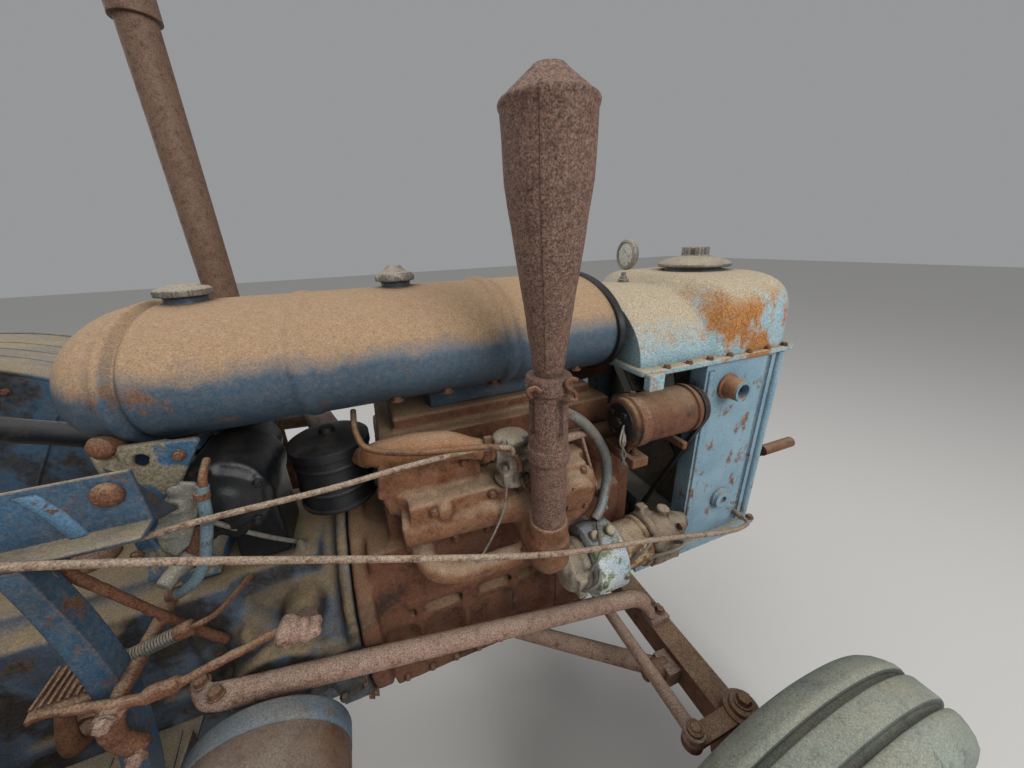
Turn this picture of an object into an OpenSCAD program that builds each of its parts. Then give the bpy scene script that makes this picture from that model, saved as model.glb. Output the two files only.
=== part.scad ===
// Standard four-wheel tractor of the 1930s on rubber tyres, with an open side-valve engine.
// Millimetres. In the tables X runs forward from the datum, Y to the tractor's left and Z up from
// the ground. on_tractor() then puts the middle of the whole length at X = 0.

/* [Front wheels] */
// Radius of a front tyre
front_tyre_r = 360; // [345:1:375]
// Width of a front tyre
front_tyre_w = 165; // [150:1:172]
// Middle of a front tyre from the centre line
front_wheel_y = 645; // [635:1:660]
// Bead radius of the front rim
front_rim_r = 205; // [195:1:215]
// Radius of a front stub axle
stub_r = 20; // [17:0.5:23]

/* [Rear wheels] */
// Radius of a rear tyre over its lugs
rear_tyre_r = 555; // [535:1:575]
// Width of a rear tyre
rear_tyre_w = 285; // [260:1:290]
// Middle of a rear tyre from the centre line
rear_wheel_y = 655; // [652:1:690]
// Bead radius of the rear rim
rear_rim_r = 312; // [300:1:325]
// Lugs on each side of a rear tyre
lug_count = 22; // [18:1:24]
// Height of a lug
lug_h = 26; // [18:1:32]
// Radius of a rear axle shaft
shaft_r = 30; // [25:0.5:36]
// Round holes in each rear wheel disc
disc_hole_count = 6; // [4:1:8]

/* [Chassis] */
// Distance between the axles
wheelbase = 1600; // [1540:5:1700]
// Half width of the gear case
gearcase_half_w = 150; // [140:1:160]
// Radius of the clutch bell at the engine
bell_r = 208; // [200:1:209]
// Radius of the belt pulley
pulley_r = 115; // [105:1:120]
// Width of the belt pulley's face
pulley_w = 165; // [130:1:170]
// Sheet thickness of mudguards and platform
sheet_t = 5; // [3:0.5:8]
// Radius of the mudguards over the rear wheels
guard_r = 650; // [640:1:670]
// Radius of the drawbar's pin hole
drawbar_hole_r = 13; // [10:0.5:16]

/* [Front axle and steering] */
// Height of the square axle beam
beam_h = 65; // [55:1:70]
// Fore and aft thickness of the axle beam
beam_t = 58; // [50:1:64]
// Kingpin from the centre line
kingpin_y = 500; // [495:1:505]
// Radius of a kingpin
kingpin_r = 18; // [15:0.5:20]
// Length of the steering arms to the tie rod
tie_arm = 130; // [120:1:140]
// Length of the left arm to the drag link, and half the drop arm
drag_arm = 110; // [100:1:115]
// Radius of the steering wheel
wheel_r = 215; // [190:1:225]
// Rise of the steering column, degrees
column_rise = 20; // [18:0.5:21]

/* [Engine] */
// Half width of the cylinder block
block_half_w = 160; // [150:1:165]
// Top of the cylinder block
block_top = 1000; // [985:1:1005]
// Underside of the sump
sump_z = 430; // [428:1:450]
// Radius of the fan
fan_r = 180; // [160:1:185]
// Blades of the fan
blade_count = 4; // [4:1:6]
// Radius of the riser pipe
riser_r = 30; // [26:0.5:32]
// Widest radius of the silencer
silencer_r = 60; // [50:1:64]
// Top of the silencer
silencer_top = 1584; // [1550:1:1640]
// Top of the air intake stack
stack_top = 1840; // [1700:1:1900]

/* [Radiator] */
// Half width of the top tank
header_half_w = 240; // [232:1:246]
// Seam between core and top tank
header_z = 1150; // [1146:1:1156]
// Top of the top tank
header_top = 1312; // [1290:1:1325]
// Front of the bowed top tank
header_front = 2000; // [1985:1:2010]
// Vertical water tubes in the front row
tube_count = 20; // [14:1:24]

/* [Fuel tank] */
// Half width of the oval tank
tank_a = 190; // [175:1:198]
// Half height of the oval tank
tank_b = 105; // [95:1:107]
// Height of the tank's middle line
tank_z = 1220; // [1219:1:1228]
// Length of the domed rear end
dome_l = 92; // [75:1:125]

/* [Hidden] */
$fn = 48;

// radial clearance of a running pin
run = 0.05;
// axial gap beside a turning face
side_gap = 5;
// each ball at a pipe's bend stands a little proud of the pipe, like a weld bead
bead = 1.06;

rear_x = 40;
front_x = rear_x + wheelbase;
// The tables have the front axle at axle_x. What stands ahead of the engine's middle keeps its
// place to the front axle, and moves ahead of the table's place by this much.
axle_x = 1640;
ahead = front_x - axle_x;
rear_z = rear_tyre_r;
front_z = front_tyre_r;
crank_tip_x = 2165;
bar_l = 620;
bar_half_w = 38;
guard_y = 401;
rail_top = 1158;
rail_h = 86;
rail_rear = 560;
platform_z = 600;
rear_end_x = rear_x - bar_l - bar_half_w;
mid_x = (crank_tip_x + ahead + rear_end_x) / 2;

beam_top = 455;
beam_z = beam_top - beam_h / 2;
eye_r = 38;
eye_bottom = 385;
eye_top = 460;
arm_z = 476;
arm_t = 14;
// the arm's web is this much thinner than its eyes on each face
arm_step = 1.5;
joint_z = 505;
pin_r = 10;
ball_r = 20;
tie_x = front_x - tie_arm;
// the tie rod is as long as the kingpins stand apart, so that both wheels turn alike
tie_y = kingpin_y;
drag_y = kingpin_y - drag_arm;
// the ball on the left arm swings out by twice this at full lock, inside the drag link's socket
steer_max = 28;
swing = drag_arm * (1 - cos(steer_max)) / 2;

flange_x = 950;
engine_x = 985;
block_x = 1030;
block_front = axle_x - 90;
cover_front = block_front + 50;
crank_z = 620;
case_top = 860;
case_rear = rear_x + 216;
flange_r = bell_r + 25;
belt_x = block_front + 132;
belt_w = 14;
pulley_gap = 0.4;
belt_t = 8;
fan_z = 930;
fan_x = block_front + 190;
front_rim_w = 70;
// the front hub's inner end from the rim's middle
hub_in = 88;
rear_rim_w = 120;
rim_t = 6;
rim_lip = 15;
// the tyre's bead stays this far off the rim
bead_gap = 0.5;
// belt wheels seen from the front, anticlockwise from the crank: y, z, radius
BELT = [[0, crank_z, 65], [0, fan_z, 50], [-220, 1045, 40]];
BY = 0; BZ = 1; BR = 2;

core_x = [block_front + 240, block_front + 335];
column_x = [block_front + 150, block_front + 380];
column_z = [670, header_z - 7];
tank_x = [725, block_front - 22 + ahead];
tank_top = tank_z + tank_b;
riser = [1300, -300];
riser_z = 880;
pulley_x = 805;
pulley_z = 650;
pulley_y = -300;
steer_x = 813;
steer_z = 1047;
drop_y = 200;
sump_front = block_front - 70;
pivot_z = beam_top + 60;
pivot_r = 42;
drop_l = 2 * drag_arm;
column_start = [790, 0, 1050];
column_l = 500;
// corners of the inlet pipe from the air pot to the carburettor
INLET = [[1006, -118, 1040], [1040, -172, 1066], [1152, -205, 1070], [1225.8, -222.7, 1051.2]];
inlet_r = 17;
inlet_bulge_r = 23;
wheel_c = column_start + column_l * [-cos(column_rise), 0, sin(column_rise)];

pull_start = [650, -222, 812];
pull_end = [820, -300, 860];
pull_way = (pull_end - pull_start) / norm(pull_end - pull_start);
coil_count = 13;
coil_place = 30;
coil_r = 13;
coil_wire = 4;
coil_pitch = 6.6;

module on_tractor() translate([-mid_x, 0, 0]) children();
module on_front() on_tractor() translate([ahead, 0, 0]) children();

// the right side is drawn, and side = -1 keeps it; side = 1 mirrors it to the left
module on_side(side) { if (side < 0) children(); else mirror([0, 1, 0]) children(); }

module both_sides() { children(); mirror([0, 1, 0]) children(); }

module along_x(p, len, r) translate(p) rotate([0, 90, 0]) cylinder(r = r, h = len);

// p is the end nearer to the centre line, and the cylinder runs out to the right
module to_right(p, len, r) translate(p) rotate([90, 0, 0]) cylinder(r = r, h = len);

module box(x, y, z) translate([x[0], y[0], z[0]]) cube([x[1] - x[0], y[1] - y[0], z[1] - z[0]]);

module rod(a, b, r) {
    v = b - a;
    translate(a) rotate([0, acos(v.z / norm(v)), atan2(v.y, v.x)]) cylinder(r = r, h = norm(v));
}

module pipe_run(points, r) {
    for (i = [0 : len(points) - 2]) rod(points[i], points[i + 1], r);
    for (i = [1 : 1 : len(points) - 2]) knee(points[i], points[i - 1], points[i + 1], r * bead);
}

// ball at a bend, turned so that its poles lie beside the bend and its seam on the outside
module knee(p, before, after, r) {
    a = (before - p) / norm(before - p);
    b = (after - p) / norm(after - p);
    n = cross(a, b) / norm(cross(a, b));
    tilt = acos(n.z);
    turn = atan2(n.y, n.x);
    level = [-sin(turn), cos(turn), 0];
    translate(p) rotate([0, tilt, turn])
        rotate([0, 0, atan2(-(a + b) * level, -(a + b) * cross(level, n))]) sphere(r = r);
}

// rows of [radius, outward place] turned round the wheel's axle
module turned(profile, p) translate(p) rotate([90, 0, 0]) rotate_extrude() polygon(profile);

// rolled rim of half width w: one side's [radius, outward place] and the same turned about
function rim_side(r, w) = [[r - 22, w * 0.56], [r - 6, w * 0.7], [r - 6, w - rim_t], [r + rim_lip, w - rim_t],
    [r + rim_lip, w], [r - 12, w], [r - 12, w * 0.76], [r - 28, w * 0.62]];
function turned_about(rows) = [for (i = [len(rows) - 1 : -1 : 0]) [rows[i][0], -rows[i][1]]];
function rim_section(r, w) = concat(rim_side(r, w), turned_about(rim_side(r, w)));

module oval(a, b, len) rotate([90, 0, 90]) linear_extrude(len)
    polygon([for (t = [0 : 9 : 351]) [a * cos(t), b * sin(t)]]);

module engine_block() color("sienna") on_tractor() {
    difference() {
        union() {
            box([block_x, block_front + ahead], [-block_half_w, block_half_w], [case_top - 20, block_top]);
            box([engine_x - 2, block_front + ahead], [-180, 180], [sump_z + 220, case_top]);
            box([engine_x - 2, sump_front + ahead], [-145, 145], [sump_z, sump_z + 230]);
            along_x([flange_x, 0, 650], engine_x - flange_x, flange_r);
            translate([ahead, 0, 0]) {
                box([block_front - 2, cover_front], [-150, 150], [545, 905]);
                along_x([cover_front - 2, 0, crank_z], 60, 48);
                along_x([cover_front - 2, 0, crank_z], belt_x + 20 - cover_front, 20);
                along_x([belt_x, 0, crank_z], belt_w, BELT[0][BR]);
                box([cover_front - 2, cover_front + 55], [-28, 28], [850, fan_z]);
                along_x([cover_front - 2, 0, fan_z], 76, 36);
            }
        }
        along_x([cover_front - 10 + ahead, 0, fan_z], 100, 15 + run);
        for (x = [[1040, 1170], [1190, 1320]]) box(x, [-190, -160], [672, 720]);
    }
}

module cylinder_head() color("peru") on_tractor() {
    box([block_x + 10, block_front - 10 + ahead], [-130, block_half_w - 5], [block_top, block_top + 62]);
    box([block_x + 40, block_front - 40 + ahead], [-95, 120], [block_top + 60, block_top + 88]);
    // water outlet towards the radiator
    translate([ahead, 0, 0]) pipe_run([[sump_front, 60, block_top + 50], [axle_x, 60, block_top + 66],
        [axle_x, 60, header_z - 6.3]], 28);
}

module exhaust_manifold() color("saddlebrown") on_tractor() difference() {
    union() {
        for (x = [1090, 1240, 1400 + ahead]) box([x - 34, x + 34], [-232, -block_half_w], [866, 985]);
        along_x([1056, -215, 900], 380 + ahead, 40);
        box([1056, 1434 + ahead], [-250, -block_half_w - 8], [934, 985]);
        // rounded side plate above the rear runner
        box([1045, 1180], [-190, -block_half_w - 8], [984, 1040]);
        to_right([1080, -block_half_w - 8, 1018], 22, 20);
        to_right([riser.x, -215, riser_z], -riser.y - 215 - riser_r - 6.3, riser_r + 5);
    }
    to_right([1080, -150, 1018], 60, 8);
    box([1130, 1200], [-300, -270], [900, 930]);
}

module exhaust_stack() color("rosybrown") on_tractor() translate([riser.x, riser.y, 0]) {
    translate([0, 0, riser_z - 45]) cylinder(r = riser_r + 6, h = 90);
    translate([0, 0, riser_z]) cylinder(r = riser_r, h = 195);
    translate([0, 0, riser_z + 190]) cylinder(r = riser_r - 4, h = 140);
    for (z = [riser_z + 190, riser_z + 302]) translate([0, 0, z]) cylinder(r = riser_r + 5, h = 18);
    // rows: height below the top, radius
    S = [[384, 21], [120, 0.95 * silencer_r], [38, silencer_r], [0, 0.36 * silencer_r]];
    rotate_extrude() polygon(concat([[0, silencer_top - S[0][0]]],
        [for (s = S) [s[1], silencer_top - s[0]]], [[0, silencer_top]]));
}

module carburettor() color("tan") on_tractor() translate([1262, -225, 985]) {
    cylinder(r = 24, h = 95);
    for (z = [0, 30, 82]) translate([0, 0, z]) cylinder(r = 33, h = 10);
    translate([38, -14, 22]) cylinder(r = 26, h = 52);
    rod([-30, 0, 65], [20, 0, 65], 20);
    rod([0, -20, 48], [0, -48, 48], 7);
}

module inlet_pipe() color("chocolate") on_tractor() {
    // the bulged middle run is wider than its two ends
    for (i = [0 : 2]) rod(INLET[i], INLET[i + 1], i == 1 ? inlet_bulge_r : inlet_r);
    for (i = [1, 2]) knee(INLET[i], INLET[i - 1], INLET[i + 1], inlet_bulge_r + 1.6);
}

module air_cleaner() color("dimgray") on_tractor() {
    difference() {
        union() {
            translate([955, -70, 935]) cylinder(r = 66, h = 125);
            translate([955, -70, 1048]) cylinder(r = 71, h = 20);
            translate([955, -70, 935]) cylinder(r = 70, h = 14);
            box([1000, block_x], [-90, -50], [950, 985]);
            rod([955, -70, 1060], [955, -70, 1082], 12);
        }
        rod(INLET[0], INLET[1], inlet_r);
    }
}

module intake_stack() color("rosybrown") on_tractor() {
    pipe_run([[760, 280, stack_top], [760, 280, 985], [890, 262, 985], [948, 60, 985], [955, -3.2, 985]], 32);
    translate([760, 280, stack_top - 45]) cylinder(r = 39, h = 40);
    translate([760, 280, 1120]) cylinder(r = 38, h = 25);
}

module magneto() color("steelblue") on_front() {
    box([1375, 1455], [-230, -180], [735, 800]);
    along_x([1355, -270, 770], 110, 70);
    along_x([1340, -270, 770], 130, 50);
    along_x([1463, -270, 770], 84, 52);
    box([1545, 1640], [-315, -225], [720, 818]);
    along_x([1638, -262, 765], 22, 40);
    rod([1650, -258, 762], [column_x[0] - 13.6, -236, 742], 22);
    for (x = [1382, 1438]) rod([x, -270, 770], [x, -290, 848], 12);
    pipe_run([[1520, -312, 760], [1590, -345, 800], [1600, -308, 770]], 5);
}

module dynamo() color("sienna") on_front() {
    d = BELT[2];
    along_x([1510, d[BY], d[BZ]], 160, 52);
    for (x = [1504, 1658]) along_x([x, d[BY], d[BZ]], 18, 48);
    along_x([1660, d[BY], d[BZ]], belt_x + belt_w - 1660, 14);
    along_x([belt_x, d[BY], d[BZ]], belt_w, d[BR]);
    for (x = [-3, belt_w]) along_x([belt_x + x, d[BY], d[BZ]], 3, d[BR] + 6);
    box([1510, 1549], [-262, -block_half_w], [955, 998]);
}

// the loop lies just outside its three wheels
module belt_loop(off) hull() for (b = BELT) translate([b[BY], b[BZ]]) circle(r = b[BR] + off);

module fan_belt() color("black") on_front()
    translate([belt_x + 1, 0, 0]) rotate([90, 0, 90]) linear_extrude(belt_w - 2) difference() {
        belt_loop(pulley_gap + belt_t);
        belt_loop(pulley_gap);
    }

module fan() color("gray") on_front() translate([0, 0, fan_z]) {
    along_x([cover_front + 5, 0, 0], fan_x - cover_front, 15);
    along_x([belt_x, 0, 0], belt_w, BELT[1][BR]);
    along_x([fan_x - 14, 0, 0], 28, 34);
    for (i = [0 : blade_count - 1]) rotate([i * 360 / blade_count + 45, 0, 0])
        translate([fan_x, 0, 25]) rotate([0, 0, 65]) translate([-45, -2, 0]) cube([90, 4, fan_r - 30]);
}

module radiator_tank() color("lightsteelblue") on_front() {
    intersection() {
        box([block_front - 10, block_front + 195], [-header_half_w + 15, header_half_w - 15], [header_z, header_top - 17]);
        along_x([block_front - 50, 0, header_top - 267], 300, 250);
    }
    intersection() {
        box([block_front + 185, header_front], [-header_half_w, header_half_w], [header_z, header_top]);
        along_x([block_front + 150, 0, header_top - 420], 400, 420);
        translate([header_front - 560, 0, header_z - 5]) cylinder(r = 560, h = 300);
    }
    intersection() {
        box([block_front - 20, header_front + 8], [-header_half_w - 8, header_half_w + 8], [header_z - 6, header_z + 6]);
        translate([header_front - 552, 0, header_z - 10]) cylinder(r = 560, h = 40);
    }
    translate([1878, 0, header_top - 12]) cylinder(r = 62, h = 20);
}

module radiator_frame() color("lightblue") on_front() {
    difference() {
        union() {
            both_sides() {
                box(column_x, [-header_half_w, -header_half_w + 40], [column_z[0] - 2, column_z[1]]);
                rod([column_x[1] - 12, -header_half_w, column_z[0]], [column_x[1] - 12, -header_half_w, column_z[1]], 9);
                box([1690, 1945], [-header_half_w - 16, -header_half_w + 42], [column_z[0] - 12, column_z[0]]);
                to_right([1812, -header_half_w + 5, 775], 20, 24);
            }
            box([block_front + 52, 1960], [-205, 205], [575, column_z[0]]);
            box([block_front + 52, 1930], [-120, 120], [500, 580]);
            along_x([1950, 0, crank_z], 40, 42);
            to_right([1768, -header_half_w + 5, 1085], 45, 22);
        }
        both_sides() {
            to_right([1812, -header_half_w + 20, 775], 60, 9);
            rod([column_x[1] - 42, -header_half_w, column_z[0] + 5], [column_x[1] - 42, -header_half_w, column_z[1] - 5], 7);
        }
        to_right([1768, -header_half_w - 8, 1085], 60, 16);
        // room for the belt wheel on the crankshaft
        along_x([block_front, 0, crank_z], belt_x + belt_w + 20 - block_front, BELT[0][BR] + 20);
        along_x([1940, 0, crank_z], 60, 16 + run);
        box([block_front, belt_x + belt_w + 10], [-140, 100], [crank_z - 10, column_z[0] + 5]);
        // axle pivot fork
        box([axle_x - beam_t / 2 - 12, axle_x + beam_t / 2 + 12], [-130, 130], [490, pivot_z + pivot_r + 8]);
        along_x([1590, 0, pivot_z], 110, 16);
    }
}

module radiator_core() color("slategray") on_front() {
    box([core_x[0], core_x[1] - 20], [-header_half_w + 40.3, header_half_w - 40.3], [column_z[0] + 1, column_z[1]]);
    pitch = 2 * (header_half_w - 54) / (tube_count - 1);
    for (i = [0 : tube_count - 1])
        rod([core_x[1] - 14, -header_half_w + 54 + i * pitch, column_z[0] + 1],
            [core_x[1] - 14, -header_half_w + 54 + i * pitch, column_z[1]], 7);
    for (z = [760 : 90 : 1100]) box([core_x[1] - 21, core_x[1] - 1], [-header_half_w + 44, header_half_w - 44], [z, z + 6]);
}

module fuel_tank() color("steelblue") on_tractor() {
    translate([tank_x[0], 0, tank_z]) oval(tank_a, tank_b, tank_x[1] - tank_x[0]);
    intersection() {
        translate([tank_x[0] + 1, 0, tank_z]) scale([dome_l, tank_a, tank_b]) sphere(r = 1, $fn = 32);
        box([tank_x[0] - dome_l, tank_x[0] + 1], [-tank_a, tank_a], [tank_z - tank_b, tank_top]);
    }
    // rows: place, width and height of each raised band
    for (b = [[tank_x[0], 14, 5], [944, 20, 3], [1276, 24, 6]])
        translate([b[0], 0, tank_z]) oval(tank_a + b[2], tank_b + b[2], b[1]);
    for (c = [[790, 30], [1122, 27]]) translate([c[0], 0, tank_top - 20]) cylinder(r = c[1], h = 30);
    box([1150, 1400], [-70, 70], [block_top + 88, tank_z - tank_b + 25]);
    box([735, 780], [-110, 110], [1108, tank_z - tank_b + 12]);
}

module caps_and_gauge() color("gainsboro") on_tractor() {
    translate([790, 0, tank_top + 10]) cylinder(r = 37, h = 14);
    translate([1122, 0, tank_top + 10]) cylinder(r = 33, h = 16);
    translate([1122, 0, tank_top + 26]) cylinder(r = 14, h = 8);
    // radiator filler: flat dome with a nut on top
    translate([1878 + ahead, 0, header_top + 8]) {
        cylinder(r = 88, h = 9);
        intersection() {
            translate([0, 0, -208]) sphere(r = 235);
            translate([0, 0, 8]) cylinder(r = 84, h = 40);
        }
        cylinder(r = 33, h = 48, $fn = 6);
    }
    translate([1657 + ahead, 0, header_top - 17]) cylinder(r = 10, h = 34);
    along_x([1649 + ahead, 0, header_top + 45], 16, 35);
}

module dash_casting() color("steelblue") on_tractor() difference() {
    union() {
        box([690, 735], [-200, 200], [case_top + 20, 1108]);
        box([680, 760], [-120, 120], [case_top, case_top + 24]);
        box([730, 748], [-185, -165], [case_top + 20, 1108]);
    }
    for (z = [930, 1040]) along_x([600, -165, z], 200, 14);
    box([600, 800], [-40, 40], [1010, 1120]);
    box([600, 800], [-110, 110], [900, 975]);
}

module steering_box() color("darkslategray") on_tractor() difference() {
    union() {
        to_right([steer_x, -48, steer_z], 130, 65);
        to_right([steer_x, -174, steer_z], 12, 50);
        to_right([steer_x, 30, steer_z], 80, 48);
        to_right([steer_x, drop_y - 16, steer_z], drop_y - 40, 24);
        box([steer_x - 40, steer_x + 40], [-100, 20], [case_top, steer_z - 20]);
        rod(column_start, wheel_c + 45 * [cos(column_rise), 0, -sin(column_rise)], 20);
    }
    rod(wheel_c + 130 * [cos(column_rise), 0, -sin(column_rise)], wheel_c, 12 + run);
    to_right([steer_x, drop_y + 10, steer_z], 100, 15 + run);
}

module steering_wheel() color("black") on_tractor()
    translate(wheel_c) rotate([0, column_rise - 90, 0]) {
        rotate_extrude() translate([wheel_r, 0]) circle(r = 13);
        for (a = [45 : 90 : 315]) rotate([0, 0, a]) rod([20, 0, -22], [wheel_r, 0, 0], 7);
        translate([0, 0, -38]) cylinder(r = 28, h = 34);
        translate([0, 0, -120]) cylinder(r = 12, h = 100);
        translate([0, 0, -6]) cylinder(r = 20, h = 14, $fn = 6);
    }

module gearbox() color("lightslategray") on_tractor() difference() {
    union() {
        along_x([flange_x - 24, 0, 650], 24, flange_r);
        translate([flange_x - 20, 0, 650]) rotate([0, -90, 0])
            rotate_extrude() polygon([[0, 0], [bell_r, 0], [bell_r - 12, 90], [170, 190], [0, 190]]);
        box([case_rear, 760], [-gearcase_half_w, gearcase_half_w], [500, case_top]);
        box([300, 900], [-120, 120], [440, 520]);
        box([690, 900], [-125, 125], [780, case_top]);
        box([330, 640], [-100, 100], [case_top - 2, case_top + 22]);
        for (x = [420, 600]) box([x - 12, x + 12], [-gearcase_half_w - 14, gearcase_half_w + 14], [520, case_top - 20]);
        // belt pulley drive
        to_right([pulley_x, -100, pulley_z], -pulley_y - 100 - side_gap, 48);
        to_right([pulley_x, -150, pulley_z], 60, 84);
    }
    to_right([pulley_x, -200, pulley_z], 200, 20 + run);
}

module axle_housing() color("lightslategray") on_tractor() difference() {
    union() {
        to_right([rear_x, 150, rear_z], 300, 215);
        both_sides() {
            to_right([rear_x, -148, rear_z], 80, 130);
            to_right([rear_x, -220, rear_z], 210, 86);
            to_right([rear_x, -383, rear_z], 16, 118);
            to_right([rear_x, -430, rear_z], 38, 100);
        }
        box([rear_x - 10, case_rear], [-140, 140], [rear_z - 170, rear_z + 200]);
        box([rear_x - 70, rear_x + 70], [-80, 80], [rear_z + 190, rear_z + 225]);
    }
    both_sides() to_right([rear_x, -300, rear_z], 200, shaft_r + run);
}

module drawbar() color("sienna") on_tractor() difference() {
    union() {
        box([rear_x - bar_l, rear_x + 40], [-bar_half_w, bar_half_w], [300, 324]);
        translate([rear_x - bar_l, 0, 300]) cylinder(r = bar_half_w, h = 24);
        box([rear_x - 80, rear_x + 80], [-62, 62], [322, rear_z - 185]);
    }
    to_right([rear_x, 100, rear_z], 200, 215.3);
    translate([rear_x - bar_l, 0, 290]) cylinder(r = drawbar_hole_r, h = 60);
}

module mudguards() color("steelblue") on_tractor() both_sides() intersection() {
    difference() {
        union() {
            difference() {
                to_right([rear_x, -guard_y, rear_z], 330, guard_r);
                to_right([rear_x, -guard_y - sheet_t, rear_z], 340, guard_r - sheet_t);
            }
            to_right([rear_x, -guard_y, rear_z], sheet_t, guard_r);
            difference() {
                to_right([rear_x, -guard_y, rear_z], 22, guard_r);
                to_right([rear_x, -guard_y + 1, rear_z], 30, guard_r - 12);
            }
        }
        to_right([rear_x, -380, rear_z], 60, 102);
    }
    box([rear_x - guard_r, rear_x + guard_r], [-740, -400], [rear_z + 45, rear_z + guard_r]);
}

module side_rails() color("steelblue") on_tractor() {
    side_rail(800);
    mirror([0, 1, 0]) side_rail(715);
}

module side_rail(end_x) {
    // channel with its lips turned out
    box([rail_rear, end_x], [-272, -266], [rail_top - rail_h, rail_top]);
    for (z = [rail_top - rail_h, rail_top - 6]) box([rail_rear, end_x], [-302, -266], [z, z + 6]);
    box([690, 713], [-268, -200.3], [1085, 1106]);
    // stay of angle section from the rail down to the platform
    box([640, 646], [-300, -268], [platform_z + sheet_t + 0.3, rail_top - rail_h + 2]);
    box([612, 646], [-274, -268], [platform_z + sheet_t + 0.3, rail_top - rail_h + 2]);
    // brace from the rail out to the mudguard
    rod([570, -285, 1076], [535, -393, 925], 8);
}

module platform() color("steelblue") on_tractor() both_sides() {
    box([180, 660], [-guard_y + 0.3, -gearcase_half_w - 14], [platform_z, platform_z + sheet_t]);
    box([655, 655 + sheet_t], [-guard_y + 0.3, -200], [platform_z - 20, platform_z + 25]);
    for (x = [420, 600]) box([x - 12, x + 12], [-380, -gearcase_half_w - 14], [platform_z - 40, platform_z]);
}

module seat() color("sienna") on_tractor() {
    box([rear_x - 60, rear_x + 60], [-35, 35], [rear_z + 225, rear_z + 237]);
    pipe_run([[rear_x - 30, 0, rear_z + 242], [rear_x - 330, 0, 870], [rear_x - 400, 0, 988]], 14);
    translate([rear_x - 400, 0, 985]) rotate_extrude()
        polygon([[0, 0], [120, 4], [180, 30], [215, 80], [210, 82], [175, 36], [118, 12], [0, 8]]);
}

module pedals_levers() color("sienna") on_tractor() {
    for (s = [-1, 1]) {
        pipe_run([[540, s * 150.3, 700], [540, s * 215, 700], [588, s * 235, 848]], 12);
        translate([605, s * 235, 852]) cube([70, 60, 9], center = true);
    }
    rod([520, 0, case_top + 26], [500, 40, 985], 9);
    translate([499, 42, 992]) sphere(r = 20);
    pipe_run([[380, -125, case_top + 0.3], [380, -125, 905], [345, -225, 1085]], 8);
}

module stay_tube() color("rosybrown") on_tractor() {
    pipe_run([[790, -252, 735], [1560 + ahead, -255, 560], [1618 + ahead, -258, 482]], 20);
    rod([745, -251, 748], [795, -252, 735], 15);
    box([722, 770], [-274, -228], [740, 752]);
    box([700, 740], [-262, -gearcase_half_w - 0.3], [736, 750]);
    box([front_x - 30, front_x + 26], [-278, -236], [beam_top, beam_top + 14]);
    rod([1612 + ahead, -258, 492], [front_x - 12, -258, beam_top + 8], 14);
}

module radius_rod() color("rosybrown") on_tractor() {
    both_sides() {
        rod([1200, -16, 385], [front_x - beam_t / 2 - 22, -350, beam_z - 6], 21);
        box([front_x - beam_t / 2 - 34, front_x - beam_t / 2], [-378, -322], [beam_z - 28, beam_z + 18]);
    }
    translate([1200, 0, 356]) cylinder(r = 38, h = sump_z - 356);
}

module front_axle() color("sienna") on_tractor() difference() {
    union() {
        box([front_x - beam_t / 2, front_x + beam_t / 2], [-kingpin_y + 20, kingpin_y - 20], [beam_top - beam_h, beam_top]);
        both_sides() translate([front_x, -kingpin_y, eye_bottom]) cylinder(r = eye_r, h = eye_top - eye_bottom);
        // pivot boss below the radiator frame
        box([front_x - beam_t / 2, front_x + beam_t / 2], [-60, 60], [beam_top - 2, beam_top + 42]);
        along_x([front_x - beam_t / 2, 0, pivot_z], beam_t, pivot_r);
        along_x([cover_front + 3 + ahead, 0, pivot_z], 94, 16 - run);
    }
    both_sides() translate([front_x, -kingpin_y, eye_bottom - 10]) cylinder(r = kingpin_r + run, h = 100);
}

module control_rods() color("slategray") on_tractor() {
    pipe_run([[600, -272, 1120], [600, -292, 1120], [665, -304, 1106], [1240, -352, 925], [1700 + ahead, -355, 800],
        [1880 + ahead, -272, 706], [1880 + ahead, -240, 706]], 5);
    pipe_run([[672, -260, 1086], [672, -204.3, 1028], [784, -207, 1030], [1193, -252, 1040], [1228, -250, 1034]], 4);
    // governor wire and the throttle link
    pipe_run([[1100, -183, 760], [1180, -262, 860], [1226, -262, 1000]], 2.5);
    // brake pull with its coil spring
    pipe_run([[600, -170.3, 790], pull_start, pull_end], 6);
    for (i = [0 : coil_count - 1]) translate(pull_start + (coil_place + i * coil_pitch) * pull_way)
        rotate([0, acos(pull_way.z), atan2(pull_way.y, pull_way.x)]) rotate_extrude() translate([coil_r, 0]) circle(r = coil_wire);
    // the two cups that hold its ends
    for (d = [0, (coil_count - 1) * coil_pitch]) rod(pull_start + (coil_place + d - 2) * pull_way,
        pull_start + (coil_place + d + 2) * pull_way, coil_r);
    box([812, 850], [-318, -282], [846, 874]);
    rod([835, -292, 852], [835, -204, 734.6], 8);
}

module pipes() color("dimgray") on_tractor() {
    // plug lead conduit down to the magneto
    pipe_run([[1350, -166, 1080], [1390, -190, 1072], [1480 + ahead, -200, 990], [1490 + ahead, -205, 900],
        [1438 + ahead, -246.6, 843.8]], 11);
    rod([1350, -175, 1010], [1440, -178, 1020], 9);
    // hose beside the dash
    pipe_run([[721, -200.3, 1000], [721, -224, 1000], [742, -230, 930], [742, -222, 850], [716, -205, 790]], 13);
    // fuel line under the tank
    pipe_run([[1010, -120, 1133.8], [1020, -210, 1100], [1195, -278, 1096], [1245, -270, 1075]], 6);
}

module crank_handle() color("sienna") on_front() {
    along_x([1944, 0, crank_z], 114, 16);
    rod([2060, 0, crank_z], [2060, -175, 812], 12);
    along_x([2046, -175, 812], crank_tip_x - 2046, 15);
    along_x([2040, 0, crank_z], 40, 24);
}

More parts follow.
